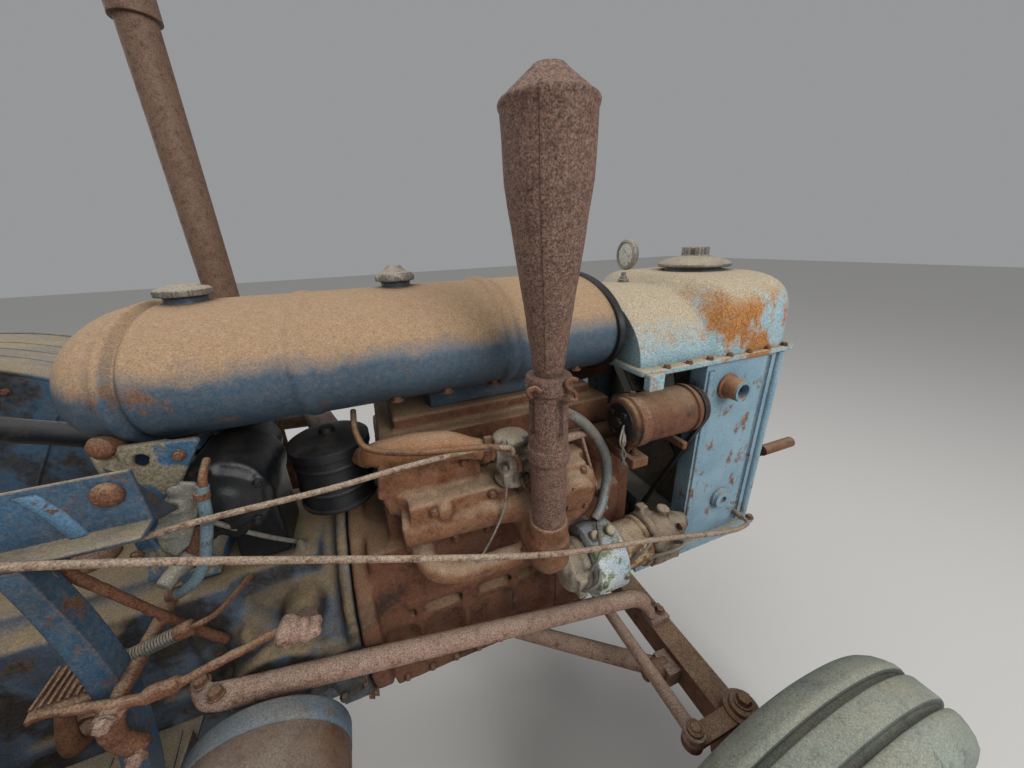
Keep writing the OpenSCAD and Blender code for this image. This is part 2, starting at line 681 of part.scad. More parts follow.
module drop_arm() color("sienna") on_tractor() {
    to_right([steer_x, drop_y - 16 + side_gap + 20, steer_z], 90, 15);
    to_right([steer_x, drop_y + 12, steer_z], 22, 32);
    rod([steer_x, drop_y + 1, steer_z], [steer_x, drop_y + 1, steer_z - drop_l], 10);
    to_right([steer_x, drop_y + 36, steer_z - drop_l], 40, pin_r);
    to_right([steer_x, drop_y + 10, steer_z - drop_l], 20, 20);
}

module drag_link() color("sienna") on_tractor() {
    rear = [steer_x, drop_y + 25, steer_z - drop_l];
    front = [front_x, drag_y + swing, joint_z];
    v = (front - rear) / norm(front - rear);
    difference() {
        union() {
            to_right([rear.x, rear.y + 10, rear.z], 14, ball_r + 4);
            rod(rear + [0, 3, 0], front - ball_r * v, 12);
            translate([front.x, front.y, joint_z - 14]) cylinder(r = ball_r + 7, h = 36);
        }
        to_right([rear.x, rear.y + 40, rear.z], 80, pin_r + run);
        // closed socket with room for the ball's swing
        translate([front.x, front.y, joint_z - 30]) cylinder(r = pin_r + swing + 0.8, h = 45);
    }
}

module tie_rod() color("sienna") on_tractor() difference() {
    union() {
        rod([tie_x, -tie_y + 12, joint_z], [tie_x, tie_y - 12, joint_z], 14);
        both_sides() translate([tie_x, -tie_y, joint_z - 12]) cylinder(r = ball_r, h = 24);
    }
    both_sides() translate([tie_x, -tie_y, joint_z - 30]) cylinder(r = pin_r + run, h = 60);
}

module knuckle(side) on_side(side) {
    translate([front_x, -kingpin_y, 322]) cylinder(r = kingpin_r, h = arm_z + arm_t + 12 - 322);
    translate([front_x, -kingpin_y, 322]) cylinder(r = 33, h = eye_bottom - 2 - 322);
    to_right([front_x, -kingpin_y + 10, front_z], front_wheel_y + 70 - kingpin_y, stub_r);
    translate([front_x, -kingpin_y, arm_z - 3]) cylinder(r = 34, h = arm_t + 6);
    rod_plate([front_x, -kingpin_y, arm_z + arm_step], [tie_x, -tie_y, arm_z + arm_step], 34, arm_t - 2 * arm_step);
    translate([tie_x, -tie_y, arm_z]) cylinder(r = 20, h = arm_t);
    translate([tie_x, -tie_y, arm_z]) cylinder(r = pin_r, h = joint_z + 16 - arm_z);
}

module rod_plate(a, b, w, t) translate(a) rotate([0, 0, atan2(b.y - a.y, b.x - a.x)])
    translate([0, -w / 2, 0]) cube([norm(b - a), w, t]);

module knuckle_right() color("sienna") on_tractor() knuckle(-1);

module knuckle_left() color("sienna") on_tractor() {
    knuckle(1);
    rod_plate([front_x, kingpin_y, arm_z + arm_step], [front_x, drag_y, arm_z + arm_step], 34, arm_t - 2 * arm_step);
    translate([front_x, drag_y, arm_z]) cylinder(r = 20, h = arm_t);
    translate([front_x, drag_y, arm_z]) cylinder(r = pin_r, h = joint_z + 12 - arm_z);
}

function bead_rows(r, w) = [[r - 6 + bead_gap, w - rim_t - bead_gap], [r + rim_lip + bead_gap, w - rim_t - bead_gap],
    [r + rim_lip + bead_gap, w + 3]];

module front_rim(side) on_side(side) difference() {
    union() {
        to_right([front_x, -front_wheel_y + hub_in, front_z], hub_in + 78, 46);
        to_right([front_x, -front_wheel_y - 4, front_z], 8, front_rim_r - 8);
        to_right([front_x, -front_wheel_y + 6, front_z], 24, 88);
        turned(rim_section(front_rim_r, front_rim_w), [front_x, -front_wheel_y, front_z]);
    }
    to_right([front_x, -front_wheel_y + hub_in + 10, front_z], hub_in + 83, stub_r + run);
}

module front_tyre(side) on_side(side) {
    w = front_tyre_w / 2;
    // one half: radius, outward place, from the bead over the three ribs to the middle
    half = concat(bead_rows(front_rim_r, front_rim_w), [[front_rim_r + 70, w], [front_tyre_r - 40, w - 4],
        [front_tyre_r - 18, w - 20], [front_tyre_r - 6, w - 34], [front_tyre_r - 3, 35], [front_tyre_r - 13, 31],
        [front_tyre_r - 13, 22], [front_tyre_r, 18]]);
    turned(concat(half, turned_about(half)), [front_x, -front_wheel_y, front_z]);
}

module rear_rim(side) on_side(side) difference() {
    union() {
        to_right([rear_x, -380, rear_z], rear_wheel_y - 380 + 30, shaft_r);
        to_right([rear_x, -468 - side_gap - 8, rear_z], rear_wheel_y - 481 + 38, 92);
        to_right([rear_x, -rear_wheel_y + 30, rear_z], 14, rear_rim_r - 12);
        to_right([rear_x, -rear_wheel_y - 36, rear_z], 12, 60);
        turned(rim_section(rear_rim_r, rear_rim_w), [rear_x, -rear_wheel_y, rear_z]);
    }
    for (i = [0 : disc_hole_count - 1]) translate([rear_x, 0, rear_z]) rotate([0, i * 360 / disc_hole_count, 0])
        to_right([0, -rear_wheel_y + 60, 195], 60, 52);
}

module rear_tyre(side) on_side(side) {
    w = rear_tyre_w / 2;
    base = rear_tyre_r - lug_h;
    // one half: radius, outward place, from the bead over the shoulder to the crown
    half = concat(bead_rows(rear_rim_r, rear_rim_w), [[rear_rim_r + 90, w - 2], [base - 60, w],
        [base - 18, w - 14], [base, w - 60]]);
    turned(concat(half, turned_about(half)), [rear_x, -rear_wheel_y, rear_z]);
    intersection() {
        to_right([rear_x, -rear_wheel_y + w, rear_z], rear_tyre_w, rear_tyre_r);
        translate([rear_x, -rear_wheel_y, rear_z])
            for (s = [-1, 1]) for (i = [0 : lug_count - 1])
                rotate([0, (i + (s > 0 ? 0.5 : 0)) * 360 / lug_count, 0])
                    translate([0, s * w * 0.49, -rear_tyre_r - 4]) rotate([0, 0, s * 48])
                        translate([-13, -w * 0.6, 0]) cube([26, w * 1.2, lug_h + 14]);
    }
}

module front_rim_right() color("sienna") on_tractor() front_rim(-1);
module front_rim_left() color("sienna") on_tractor() front_rim(1);
module front_tyre_right() color("darkgray") on_tractor() front_tyre(-1);
module front_tyre_left() color("darkgray") on_tractor() front_tyre(1);
module rear_rim_right() color("sienna") on_tractor() rear_rim(-1);
module rear_rim_left() color("sienna") on_tractor() rear_rim(1);
module rear_tyre_right() color("darkgray") on_tractor() rear_tyre(-1);
module rear_tyre_left() color("darkgray") on_tractor() rear_tyre(1);

module belt_pulley() color("sienna") on_tractor() translate([pulley_x, pulley_y, pulley_z]) {
    turned([[pulley_r, 0], [pulley_r + 2, pulley_w / 2], [pulley_r, pulley_w], [pulley_r - 9, pulley_w],
        [pulley_r - 9, 0]], [0, 0, 0]);
    to_right([0, -pulley_w / 2 + 8, 0], 12, pulley_r - 4);
    to_right([0, 0, 0], pulley_w - 20, 34);
    to_right([0, 70, 0], 90, 20);
}

engine_block();
cylinder_head();
exhaust_manifold();
exhaust_stack();
carburettor();
inlet_pipe();
air_cleaner();
intake_stack();
magneto();
dynamo();
fan_belt();
fan();
radiator_tank();
radiator_frame();
radiator_core();
fuel_tank();
caps_and_gauge();
dash_casting();
steering_box();
steering_wheel();
gearbox();
axle_housing();
drawbar();
mudguards();
side_rails();
platform();
seat();
pedals_levers();
stay_tube();
radius_rod();
front_axle();
control_rods();
pipes();
crank_handle();
drop_arm();
drag_link();
tie_rod();
knuckle_right();
knuckle_left();
front_rim_right();
front_rim_left();
front_tyre_right();
front_tyre_left();
rear_rim_right();
rear_rim_left();
rear_tyre_right();
rear_tyre_left();
belt_pulley();
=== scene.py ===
import math
import random
from math import cos, pi, sin, tau

import bmesh
import bpy
from mathutils import Matrix, Vector, noise


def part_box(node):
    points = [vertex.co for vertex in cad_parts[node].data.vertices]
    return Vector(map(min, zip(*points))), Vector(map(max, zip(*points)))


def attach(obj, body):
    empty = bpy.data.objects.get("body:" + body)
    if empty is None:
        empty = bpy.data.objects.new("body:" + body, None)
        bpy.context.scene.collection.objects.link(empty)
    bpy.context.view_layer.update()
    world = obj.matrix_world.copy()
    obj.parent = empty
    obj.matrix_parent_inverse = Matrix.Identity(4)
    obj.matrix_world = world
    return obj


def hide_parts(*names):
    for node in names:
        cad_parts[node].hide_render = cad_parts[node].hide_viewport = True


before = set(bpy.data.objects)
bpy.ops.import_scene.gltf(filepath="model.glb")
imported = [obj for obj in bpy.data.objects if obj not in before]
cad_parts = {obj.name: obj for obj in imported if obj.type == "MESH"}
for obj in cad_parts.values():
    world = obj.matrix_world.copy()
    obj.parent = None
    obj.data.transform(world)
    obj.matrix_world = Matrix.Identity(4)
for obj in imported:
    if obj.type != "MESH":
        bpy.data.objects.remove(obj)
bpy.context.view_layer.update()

# The CAD measures from a datum near the rear axle; MID_X moves a place from there into the shared frame.
MID_X = 0.7735
# Directions on the tractor
UP, AHEAD, BACK, RIGHT, LEFT = (0, 0, 1), (1, 0, 0), (-1, 0, 0), (0, -1, 0), (0, 1, 0)
# Turning parts, in mm from the datum
FRONT_WHEEL = (1640, 645, 360)  # x, how far out to each side, z
REAR_WHEEL = (40, 655, 555)
KINGPIN = (1640, 500)  # x, how far out to each side
PULLEY = (805, -300, 650)  # x, y of the drum's inner edge, z


def at(x, y, z):
    """A place given in mm from the datum, as the CAD gives it, as a place in the shared frame in metres."""
    return Vector((x / 1000 - MID_X, y / 1000, z / 1000))


def places(*rows):
    """Several places given in mm from the datum."""
    return [at(*row) for row in rows]


def around(count):
    """Even steps once round a circle."""
    return [k * tau / count for k in range(count)]


def place_camera():
    """The photograph's view: close to the right side of the engine, looking down on it through a wide lens."""
    right, down, ahead = (0.9284, -0.3706, -0.0353), (-0.1653, -0.3252, -0.9311), (0.3335, 0.8702, -0.363)
    turn = Matrix([[right[i], -down[i], -ahead[i]] for i in range(3)]).to_4x4()
    lens = bpy.data.cameras.new("photo_view")
    lens.lens, lens.sensor_width, lens.clip_start = 13.0, 36.0, 0.02
    camera = bpy.data.objects.new("photo_view", lens)
    camera.matrix_world = Matrix.Translation((1.06 - MID_X, -0.77, 1.40)) @ turn
    bpy.context.collection.objects.link(camera)
    bpy.context.scene.camera = camera


def light_the_room():
    """Three soft lamps and an even pale sky."""
    for name, place, size, watts in (
        ("window_light", (1.7, -3.4, 3.4), 2.2, 105),
        ("ceiling_light", (-0.6, 0.2, 4.4), 4.0, 60),
        ("far_fill", (-2.8, 3.2, 2.6), 3.0, 36),
    ):
        lamp = bpy.data.lights.new(name, "AREA")
        lamp.energy, lamp.size = watts, size
        holder = bpy.data.objects.new(name, lamp)
        holder.location = place
        holder.rotation_euler = (Vector((0.2, 0, 0.9)) - Vector(place)).to_track_quat("-Z", "Y").to_euler()
        bpy.context.collection.objects.link(holder)
    world = bpy.data.worlds.new("studio")
    world.use_nodes = True
    world.node_tree.nodes["Background"].inputs[0].default_value = (0.93, 0.94, 0.96, 1)
    world.node_tree.nodes["Background"].inputs[1].default_value = 0.33
    bpy.context.scene.world = world


def colour(hex_code):
    """An sRGB hex colour as linear red, green, blue and full cover."""
    parts = [int(hex_code[i : i + 2], 16) / 255 for i in (1, 3, 5)]
    return (*(p / 12.92 if p <= 0.04045 else ((p + 0.055) / 1.055) ** 2.4 for p in parts), 1)


def add(tree, kind, inputs=None, out=0, **settings):
    """Adds one node with its settings. An input is another node's socket, a plain value or a hex colour."""
    node = tree.nodes.new(kind)
    for key, value in settings.items():
        setattr(node, key, value)
    for key, value in (inputs or {}).items():
        if isinstance(value, bpy.types.NodeSocket):
            tree.links.new(value, node.inputs[key])
        else:
            node.inputs[key].default_value = colour(value) if str(value).startswith("#") else value
    return node.outputs[out] if len(node.outputs) else node


def weathered(name, coat, rust, dust, rust_share=0.3, dust_share=0.6, streak=0.0, coat_rough=0.5, metal=0.0, pit_mm=5.0,
              patch_mm=70.0, bump=0.5, worn_edge=0.0, edge_mm=4.0, grease=0.0, dust_side=0.25, soft=0.05, speck=0.3,
              corner=0.5, stains=()):
    """An old surface in layers: the coat in two tones, rust that breaks through it in patches and runs, metal
    that shows along its edges, grease, dust that lies where the surface faces up, and painted shade in its corners.
    stains: a place and how far round it the rust gathers, in mm."""
    material = bpy.data.materials.new(name)
    material.use_nodes = True
    tree = material.node_tree
    shader = tree.nodes["Principled BSDF"]
    spot = add(tree, "ShaderNodeTexCoord", out="Object")
    tall = add(tree, "ShaderNodeMapping", {"Vector": spot, "Scale": (1, 1, 0.12)})
    edge, chip = 0.62 - 0.34 * rust_share, 0.62 - 0.3 * worn_edge
    oil = 0.6 - 0.2 * grease
    # rows: name, width of a spot in mm, the noise that counts as 0 and as 1, its detail and roughness
    layer = {}
    for key, size_mm, low, high, detail, rough in (
        ("tone", 130, 0.35, 0.65, 5, 0.6), ("mottle", 9, 0.3, 0.7, 5, 0.7), ("rust_tone", 26, 0.35, 0.65, 6, 0.7),
        ("pits", pit_mm, 0.42, 0.62, 3, 0.6), ("patches", patch_mm, 0, 1, 9, 0.68), ("runs", 16, 0.45, 0.75, 4, 0.6),
        ("chips", 14, chip, chip + 0.08, 6, 0.6), ("oil", 120, oil, oil + 0.08, 6, 0.6), ("drift", 60, 0, 1, 7, 0.7),
        ("depth", pit_mm, 0, 1, 6, 0.7), ("specks", 2.4, 0.3, 0.7, 2, 0.5),
    ):
        raw = add(tree, "ShaderNodeTexNoise", {"Vector": tall if key == "runs" else spot, "Scale": 1000 / size_mm,
                "Detail": detail, "Roughness": rough})
        layer[key] = add(tree, "ShaderNodeMapRange", {"Value": raw, "From Min": low, "From Max": high})
    up = add(tree, "ShaderNodeSeparateXYZ", {0: spot.node.outputs["Normal"]}, out="Z")
    layer["level"] = add(tree, "ShaderNodeMapRange",
            {"Value": up, "From Min": -0.35 + (1 - dust_side) * 0.55, "From Max": 1.0})
    # painted shade: the surface's ambient occlusion darkens its corners and hollows, as strongly as corner sets
    shade_occlusion = add(tree, "ShaderNodeAmbientOcclusion", {"Distance": 0.03}, out="AO", samples=3)
    layer["corner"] = add(tree, "ShaderNodeMapRange", {"Value": shade_occlusion, "From Min": 0.85, "From Max": 0.3})
    soft_normal = add(tree, "ShaderNodeBevel", {"Radius": edge_mm / 1000}, samples=3)
    turn = add(tree, "ShaderNodeVectorMath", {0: soft_normal, 1: add(tree, "ShaderNodeNewGeometry", out="Normal")},
               out="Value", operation="DOT_PRODUCT")
    layer["rim"] = add(tree, "ShaderNodeMapRange", {"Value": turn, "From Min": 0.985, "From Max": 0.86})
    layer["stain"] = add(tree, "ShaderNodeValue")
    for place, reach_mm in stains:
        far = add(tree, "ShaderNodeVectorMath", {0: spot, 1: tuple(place)}, out="Value", operation="DISTANCE")
        near = add(tree, "ShaderNodeMapRange", {"Value": far, "From Min": reach_mm / 1000, "From Max": 0.0,
                "To Max": 0.3})
        layer["stain"] = add(tree, "ShaderNodeMath", {0: layer["stain"], 1: near}, operation="ADD")
    # rows: result, operation and its two sides, each a layer's name or a number
    for key, operation, one, other in (
        ("runs", "MULTIPLY", "runs", streak), ("patches", "ADD", "patches", "runs"),
        ("patches", "ADD", "patches", "stain"), ("patches", "SUBTRACT", "patches", edge),
        ("rusty", "DIVIDE", "patches", soft), ("bare", "MULTIPLY", "rim", "chips"),
        ("bare", "MULTIPLY", "bare", 1.0 if worn_edge else 0.0), ("rusty", "MAXIMUM", "rusty", "bare"),
        ("pits", "MULTIPLY", "pits", 0.6), ("oil", "MULTIPLY", "oil", 0.8 if grease else 0.0),
        ("lying", "MULTIPLY", "level", dust_share * 1.1), ("drift", "SUBTRACT", "drift", 0.42),
        ("lying", "ADD", "lying", "drift"), ("lying", "SUBTRACT", "lying", 0.22), ("lying", "MULTIPLY", "lying", 1.9),
        ("film", "MULTIPLY", "mottle", dust_side * 0.5), ("film", "MAXIMUM", "film", "lying"),
        ("corner", "MULTIPLY", "corner", corner), ("covered", "MAXIMUM", "rusty", "film"),
        ("open", "SUBTRACT", 1.0, "covered"), ("shine", "MULTIPLY", "open", metal),
        ("crust", "MULTIPLY", "rusty", 0.25), ("depth", "MULTIPLY", "depth", 0.6), ("height", "ADD", "depth", "crust"),
    ):
        layer[key] = add(tree, "ShaderNodeMath", {0: layer.get(one, one), 1: layer.get(other, other)},
                         operation=operation, use_clamp=True)
    # rows: result, its share, the colour below and the colour laid over it
    shade = {}
    for key, share, below, above in (
        ("coat", "tone", coat[0], coat[1]), ("rust", "rust_tone", rust[0], rust[1]), ("rust", "pits", "rust", rust[2]),
        ("now", "rusty", "coat", "rust"), ("now", "oil", "now", "#16120F"), ("dust", "mottle", dust[0], dust[1]),
        # the corner row is painted shade: corners and hollows darken towards #1D1612
        ("now", "film", "now", "dust"), ("now", "corner", "now", "#1D1612"),
    ):
        shade[key] = add(tree, "ShaderNodeMix",
                         {0: layer[share], 6: shade.get(below, below), 7: shade.get(above, above)}, out=2,
                         data_type="RGBA")
    final = add(tree, "ShaderNodeMix", {0: speck, 6: shade["now"], 7: layer["specks"]}, out=2, data_type="RGBA",
                blend_type="OVERLAY")
    tree.links.new(final, shader.inputs["Base Color"])
    tree.links.new(add(tree, "ShaderNodeMapRange", {"Value": layer["covered"], "To Min": coat_rough, "To Max": 0.92}),
                   shader.inputs["Roughness"])
    tree.links.new(layer["shine"], shader.inputs["Metallic"])
    pits = add(tree, "ShaderNodeBump", {"Height": layer["height"], "Strength": bump, "Distance": 0.0016,
            "Normal": soft_normal})
    tree.links.new(pits, shader.inputs["Normal"])
    return material


def make_finishes():
    """Every finish of the tractor, under a short name. The numbers after the colours are rust_share,
    dust_share, streak and coat_rough. corner sets how dark the painted shade in corners and hollows is."""
    return {
        # chassis enamel, brushed on by hand: half gloss steel blue, chipped through to dark rust along its edges
        "blue_enamel": weathered("brushed_blue_enamel_on_iron",
            ("#27465C", "#325F80"), ("#5E3A26", "#77482C", "#2E1E18"), ("#8F8069", "#A39378"),
            0.12, 0.55, 0.05, 0.42, worn_edge=0.8, patch_mm=45, soft=0.07, dust_side=0.45, grease=0.3),
        # sheet steel tank: bleached enamel below, settled tan dust above, scratched but hardly rusted
        "tank_enamel": weathered("dusty_blue_enamel_on_sheet_steel",
            ("#36596F", "#2C4C62"), ("#6B4630", "#85583C", "#3E281D"), ("#9C8062", "#AE9173"),
            0.0, 0.95, 0.05, 0.38, pit_mm=3.0, patch_mm=80, bump=0.22, dust_side=0.42, soft=0.08, speck=0.25,
            corner=0.6),
        # radiator castings: chalky pale blue with brown runs under the seams
        "pale_enamel": weathered("faded_pale_blue_enamel_on_cast_iron",
            ("#6C93A8", "#8BABBB"), ("#7A5138", "#916440", "#4A3124"), ("#B7AA92", "#C7BBA4"),
            0.10, 0.45, 0.12, 0.5, pit_mm=6, patch_mm=50, worn_edge=0.6, soft=0.07),
        # bare engine castings: even red-brown rust with dark pits, tan dust and old oil
        "engine_iron": weathered("rusted_grey_cast_iron",
            ("#5C3624", "#6D422B"), ("#512B1A", "#7A4226", "#251611"), ("#866C52", "#9B8064"),
            0.45, 0.55, 0.05, 0.8, pit_mm=7, patch_mm=60, bump=0.9, grease=0.3, worn_edge=0.2, soft=0.12,
            dust_side=0.4),
        # manifold: burnt dry, flaking, lighter than the block
        "manifold_iron": weathered("burnt_rusted_cast_iron",
            ("#71482F", "#8A5D40"), ("#63361F", "#8A4F2B", "#382016"), ("#9C8268", "#B0977D"),
            0.45, 0.6, 0.04, 0.9, patch_mm=32, bump=1.0, worn_edge=0.2, soft=0.12, dust_side=0.4, corner=0.7),
        # dash: the same blue with bare chalky patches where a plate was unbolted
        "dash_enamel": weathered("chalked_blue_enamel_on_cast_iron",
            ("#2F5876", "#3F7094"), ("#87806B", "#9C947D", "#5A4636"), ("#8F8069", "#A39378"),
            0.20, 0.45, 0.08, 0.45, worn_edge=0.8, patch_mm=50, soft=0.07, dust_side=0.3,
            stains=((at(730, -180, 1150), 60), (at(770, -180, 1100), 30), (at(735, -180, 960), 50))),
        # lighter copy of the blue enamel: a painted highlight on the rail ribs and the foot patch
        "highlight_enamel": weathered("blue_enamel_painted_highlight",
            ("#456F8E", "#6088A4"), ("#5E3A26", "#77482C", "#2E1E18"), ("#978A74", "#AEA088"),
            0.16, 0.3, 0.0, 0.38, worn_edge=0.5, patch_mm=14, soft=0.06, dust_side=0.15),
        # silencer: thin sheet burnt to a fine speckled mauve brown
        "silencer_steel": weathered("burnt_rusted_sheet_steel",
            ("#6D4E41", "#785B4E"), ("#5A3E30", "#6B4A3A", "#32231D"), ("#8C7667", "#9A8577"),
            0.45, 0.25, 0.0, 0.7, pit_mm=2.4, patch_mm=7, bump=0.7, soft=0.16, speck=0.7, dust_side=0.5),
        # intake stack: plain drawn pipe, evenly browned
        "stack_steel": weathered("browned_steel_pipe",
            ("#6B5040", "#775B4A"), ("#5C4232", "#6C4E3B", "#32231C"), ("#8C7664", "#9B8674"),
            0.4, 0.2, 0.0, 0.6, pit_mm=3, patch_mm=14, bump=0.35, soft=0.2, speck=0.4),
        # round braces: pink brown rust under a film of dust
        "brace_steel": weathered("dusty_rusted_steel_tube",
            ("#8E7060", "#A08272"), ("#694636", "#7C5743", "#3A2821"), ("#A18B79", "#B29C8A"),
            0.3, 0.45, 0.0, 0.8, pit_mm=3, patch_mm=18, bump=0.6, soft=0.12, speck=0.5),
        # forged levers and rods: dark brown rust
        "rusty_steel": weathered("rusted_mild_steel",
            ("#6B4330", "#7B523A"), ("#5F3520", "#7F4C2D", "#2C1C17"), ("#8F7860", "#A38B72"),
            0.45, 0.45, 0.0, 0.75, pit_mm=3, patch_mm=18, bump=0.7, soft=0.12, speck=0.5),
        # gear casings: oily blue grey paint, painted shade in the hollows and caked earth on top
        "casing": weathered("oily_blue_grey_paint_on_cast_iron",
            ("#3C4B5C", "#556779"), ("#5A4634", "#6E5742", "#241B17"), ("#8A785C", "#A08A68"),
            0.26, 0.55, 0.06, 0.5, pit_mm=6, patch_mm=60, bump=0.8, grease=0.75, worn_edge=0.35, soft=0.12,
            dust_side=0.32, corner=0.8),
        # steering case and air cleaner: black and oily, a dull sheen
        "black_iron": weathered("oiled_black_iron",
            ("#101215", "#181B20"), ("#2B211C", "#382921", "#0F0D0C"), ("#3D3833", "#4C463F"),
            0.10, 0.30, 0.0, 0.36, pit_mm=4, patch_mm=40, worn_edge=0.3, dust_side=0.1, soft=0.1),
        # carburettor body: pale grey metal under straw-coloured dust
        "die_casting": weathered("dusty_zinc_die_casting",
            ("#94897A", "#A59A8A"), ("#77644F", "#87735C", "#4C4036"), ("#B5A58B", "#C2B39B"),
            0.25, 0.55, 0.0, 0.6, metal=0.3, pit_mm=3, patch_mm=26, soft=0.1, corner=0.7),
        # inlet pipe: smooth orange brown
        "inlet_iron": weathered("rusted_orange_brown_pipe",
            ("#8A5838", "#9C6A45"), ("#6C4029", "#8C5833", "#452A1D"), ("#A68A6C", "#B59A7C"),
            0.35, 0.45, 0.0, 0.7, pit_mm=4, patch_mm=30, soft=0.14),
        # caps and fittings: plating gone dull and grey
        "dull_plate": weathered("dull_nickel_plated_steel",
            ("#85827A", "#96928A"), ("#655444", "#776049", "#3B332C"), ("#A69782", "#B6A892"),
            0.22, 0.5, 0.0, 0.40, metal=0.7, pit_mm=2.5, patch_mm=16, bump=0.3, soft=0.1),
        # radiator tubes: brown brass
        "core_brass": weathered("dusty_brass_tubes",
            ("#524E40", "#635E4E"), ("#42392E", "#54483A", "#262320"), ("#7F7463", "#92866F"),
            0.3, 0.3, 0.0, 0.6, metal=0.4, pit_mm=3, patch_mm=40, bump=0.4),
        # wheels: orange brown enamel, rusted
        "wheel_enamel": weathered("rusted_orange_enamel_on_pressed_steel",
            ("#83462B", "#94522F"), ("#5F3522", "#77492E", "#30201A"), ("#8F7860", "#A38B72"),
            0.4, 0.4, 0.05, 0.6, patch_mm=45, worn_edge=0.4, soft=0.1),
        # tyres: rubber gone chalky grey green, dark where it still bends, painted shade in the grooves
        "old_rubber": weathered("dusty_perished_rubber",
            ("#7C857C", "#8E978C"), ("#5A5E56", "#6A6F66", "#33322D"), ("#8F8A78", "#A39D89"),
            0.28, 0.35, 0.0, 0.85, pit_mm=3, patch_mm=22, dust_side=0.4, soft=0.2, corner=0.8),
        "black_rubber": weathered("worn_black_rubber",
            ("#17181A", "#202124"), ("#2A2724", "#35312C", "#121212"), ("#544D45", "#655D53"),
            0.2, 0.3, 0.0, 0.6, pit_mm=2, patch_mm=30, bump=0.3),
        # hose: faded blue grey, matt
        "hose_rubber": weathered("faded_blue_grey_rubber_hose",
            ("#5C747F", "#6E858F"), ("#4A555A", "#616A68", "#30363A"), ("#8C887C", "#9E998C"),
            0.2, 0.4, 0.0, 0.7, pit_mm=2, patch_mm=20, bump=0.3),
        # steering wheel rim: hard black moulding with a hand-worn shine
        "grip": weathered("worn_black_moulding",
            ("#111214", "#1A1B1E"), ("#29231E", "#3A3029", "#0E0E0F"), ("#57504A", "#665E56"),
            0.1, 0.3, 0.0, 0.3, pit_mm=2, patch_mm=40, bump=0.15),
        # top tank casting: cream dust over chalky blue, an orange rust run below the valley
        "header_enamel": weathered("faded_pale_blue_enamel_with_orange_rust",
            ("#7FA5B4", "#9CBCC4"), ("#A8692E", "#C58233", "#6A4024"), ("#A99A80", "#BBAC93"),
            0.16, 0.72, 0.10, 0.48, worn_edge=0.5, soft=0.12, speck=0.4, dust_side=0.4,
            stains=((at(1800, -150, 1300), 120), (at(1765, -236, 1230), 90), (at(1600, -120, 1270), 60),
                    (at(1850, -240, 1170), 60))),
        # magneto band: blue, white and green paint in flakes over iron
        "patched_enamel": weathered("flaked_white_and_blue_paint_on_iron",
            ("#C3CAC6", "#4A7FB4"), ("#97A07A", "#7E8E5E", "#43352A"), ("#B5AB97", "#C4BBA7"),
            0.34, 0.3, 0.0, 0.55, pit_mm=4, patch_mm=26, speck=0.4),
        # shaft cylinder: cream paint flaked down to rust
        "flaked_cream": weathered("flaked_cream_paint_on_iron",
            ("#B09C78", "#9F8868"), ("#6C4529", "#80522C", "#40281B"), ("#B3A285", "#C0B096"),
            0.5, 0.4, 0.0, 0.75, pit_mm=4, patch_mm=18, bump=0.8, soft=0.08),
        # pump housing: grey iron with grease
        "pump_iron": weathered("dusty_grey_cast_iron",
            ("#7A6B5A", "#897A68"), ("#5F4230", "#715039", "#2C211B"), ("#A09078", "#AF9F88"),
            0.35, 0.5, 0.0, 0.8, pit_mm=4, patch_mm=28, bump=0.8, grease=0.3, soft=0.1, corner=0.8),
        # conduit: steel with its grey blue paint worn bright
        "worn_conduit": weathered("worn_grey_painted_steel_conduit",
            ("#7E776C", "#707D84"), ("#5F4A3C", "#735746", "#33271F"), ("#A39480", "#B1A28D"),
            0.3, 0.35, 0.0, 0.5, metal=0.3, pit_mm=3, patch_mm=30, bump=0.3, soft=0.1),
        # fuel line: tarnished copper
        "worn_copper": weathered("tarnished_copper_pipe",
            ("#7C5238", "#8C6142"), ("#543A2C", "#634536", "#2D2019"), ("#8A735C", "#A38C72"),
            0.3, 0.4, 0.0, 0.5, metal=0.6, pit_mm=3, patch_mm=40, bump=0.2),
        # long rods: steel under grey tan dust, lighter than the forgings
        "pale_rod": weathered("dusty_drawn_steel_rod",
            ("#8C7663", "#9E8A76"), ("#6F4E3B", "#825F48", "#433127"), ("#A3917C", "#B3A28E"),
            0.35, 0.4, 0.0, 0.7, pit_mm=2, patch_mm=14, bump=0.4, soft=0.1, speck=0.5),
        # gauge glass: clouded and yellowed
        "cloudy_glass": weathered("clouded_gauge_glass",
            ("#AFADA2", "#BFBDB2"), ("#858174", "#928D80", "#656158"), ("#B3AC9C", "#C2BBAC"),
            0.15, 0.3, 0.0, 0.2, pit_mm=2, patch_mm=12, bump=0.1),
        # belt pulley: brown drum, rubbed smooth
        "pulley_iron": weathered("brown_rubbed_iron_drum",
            ("#67503F", "#775D4B"), ("#5A3A28", "#6E4934", "#2C1C17"), ("#7F7366", "#908477"),
            0.4, 0.4, 0.0, 0.55, pit_mm=3, patch_mm=34, bump=0.4, soft=0.2),
        # band of the pulley that the belt never ran on
        "band_enamel": weathered("grey_blue_enamel_on_a_drum_edge",
            ("#4C6070", "#5D7383"), ("#5A3A28", "#6E4934", "#2C1C17"), ("#7F7B70", "#90897B"),
            0.28, 0.4, 0.0, 0.5, pit_mm=3, patch_mm=26, bump=0.4, soft=0.16),
        # grey plate: bare sheet under pale lime dust
        "grey_plate": weathered("lime_dusted_sheet_steel",
            ("#6F6E66", "#807F76"), ("#5E4C3C", "#705A45", "#332B24"), ("#A39F90", "#B4B0A1"),
            0.3, 0.5, 0.0, 0.7, pit_mm=3, patch_mm=20, bump=0.6, soft=0.1, dust_side=0.6),
    }


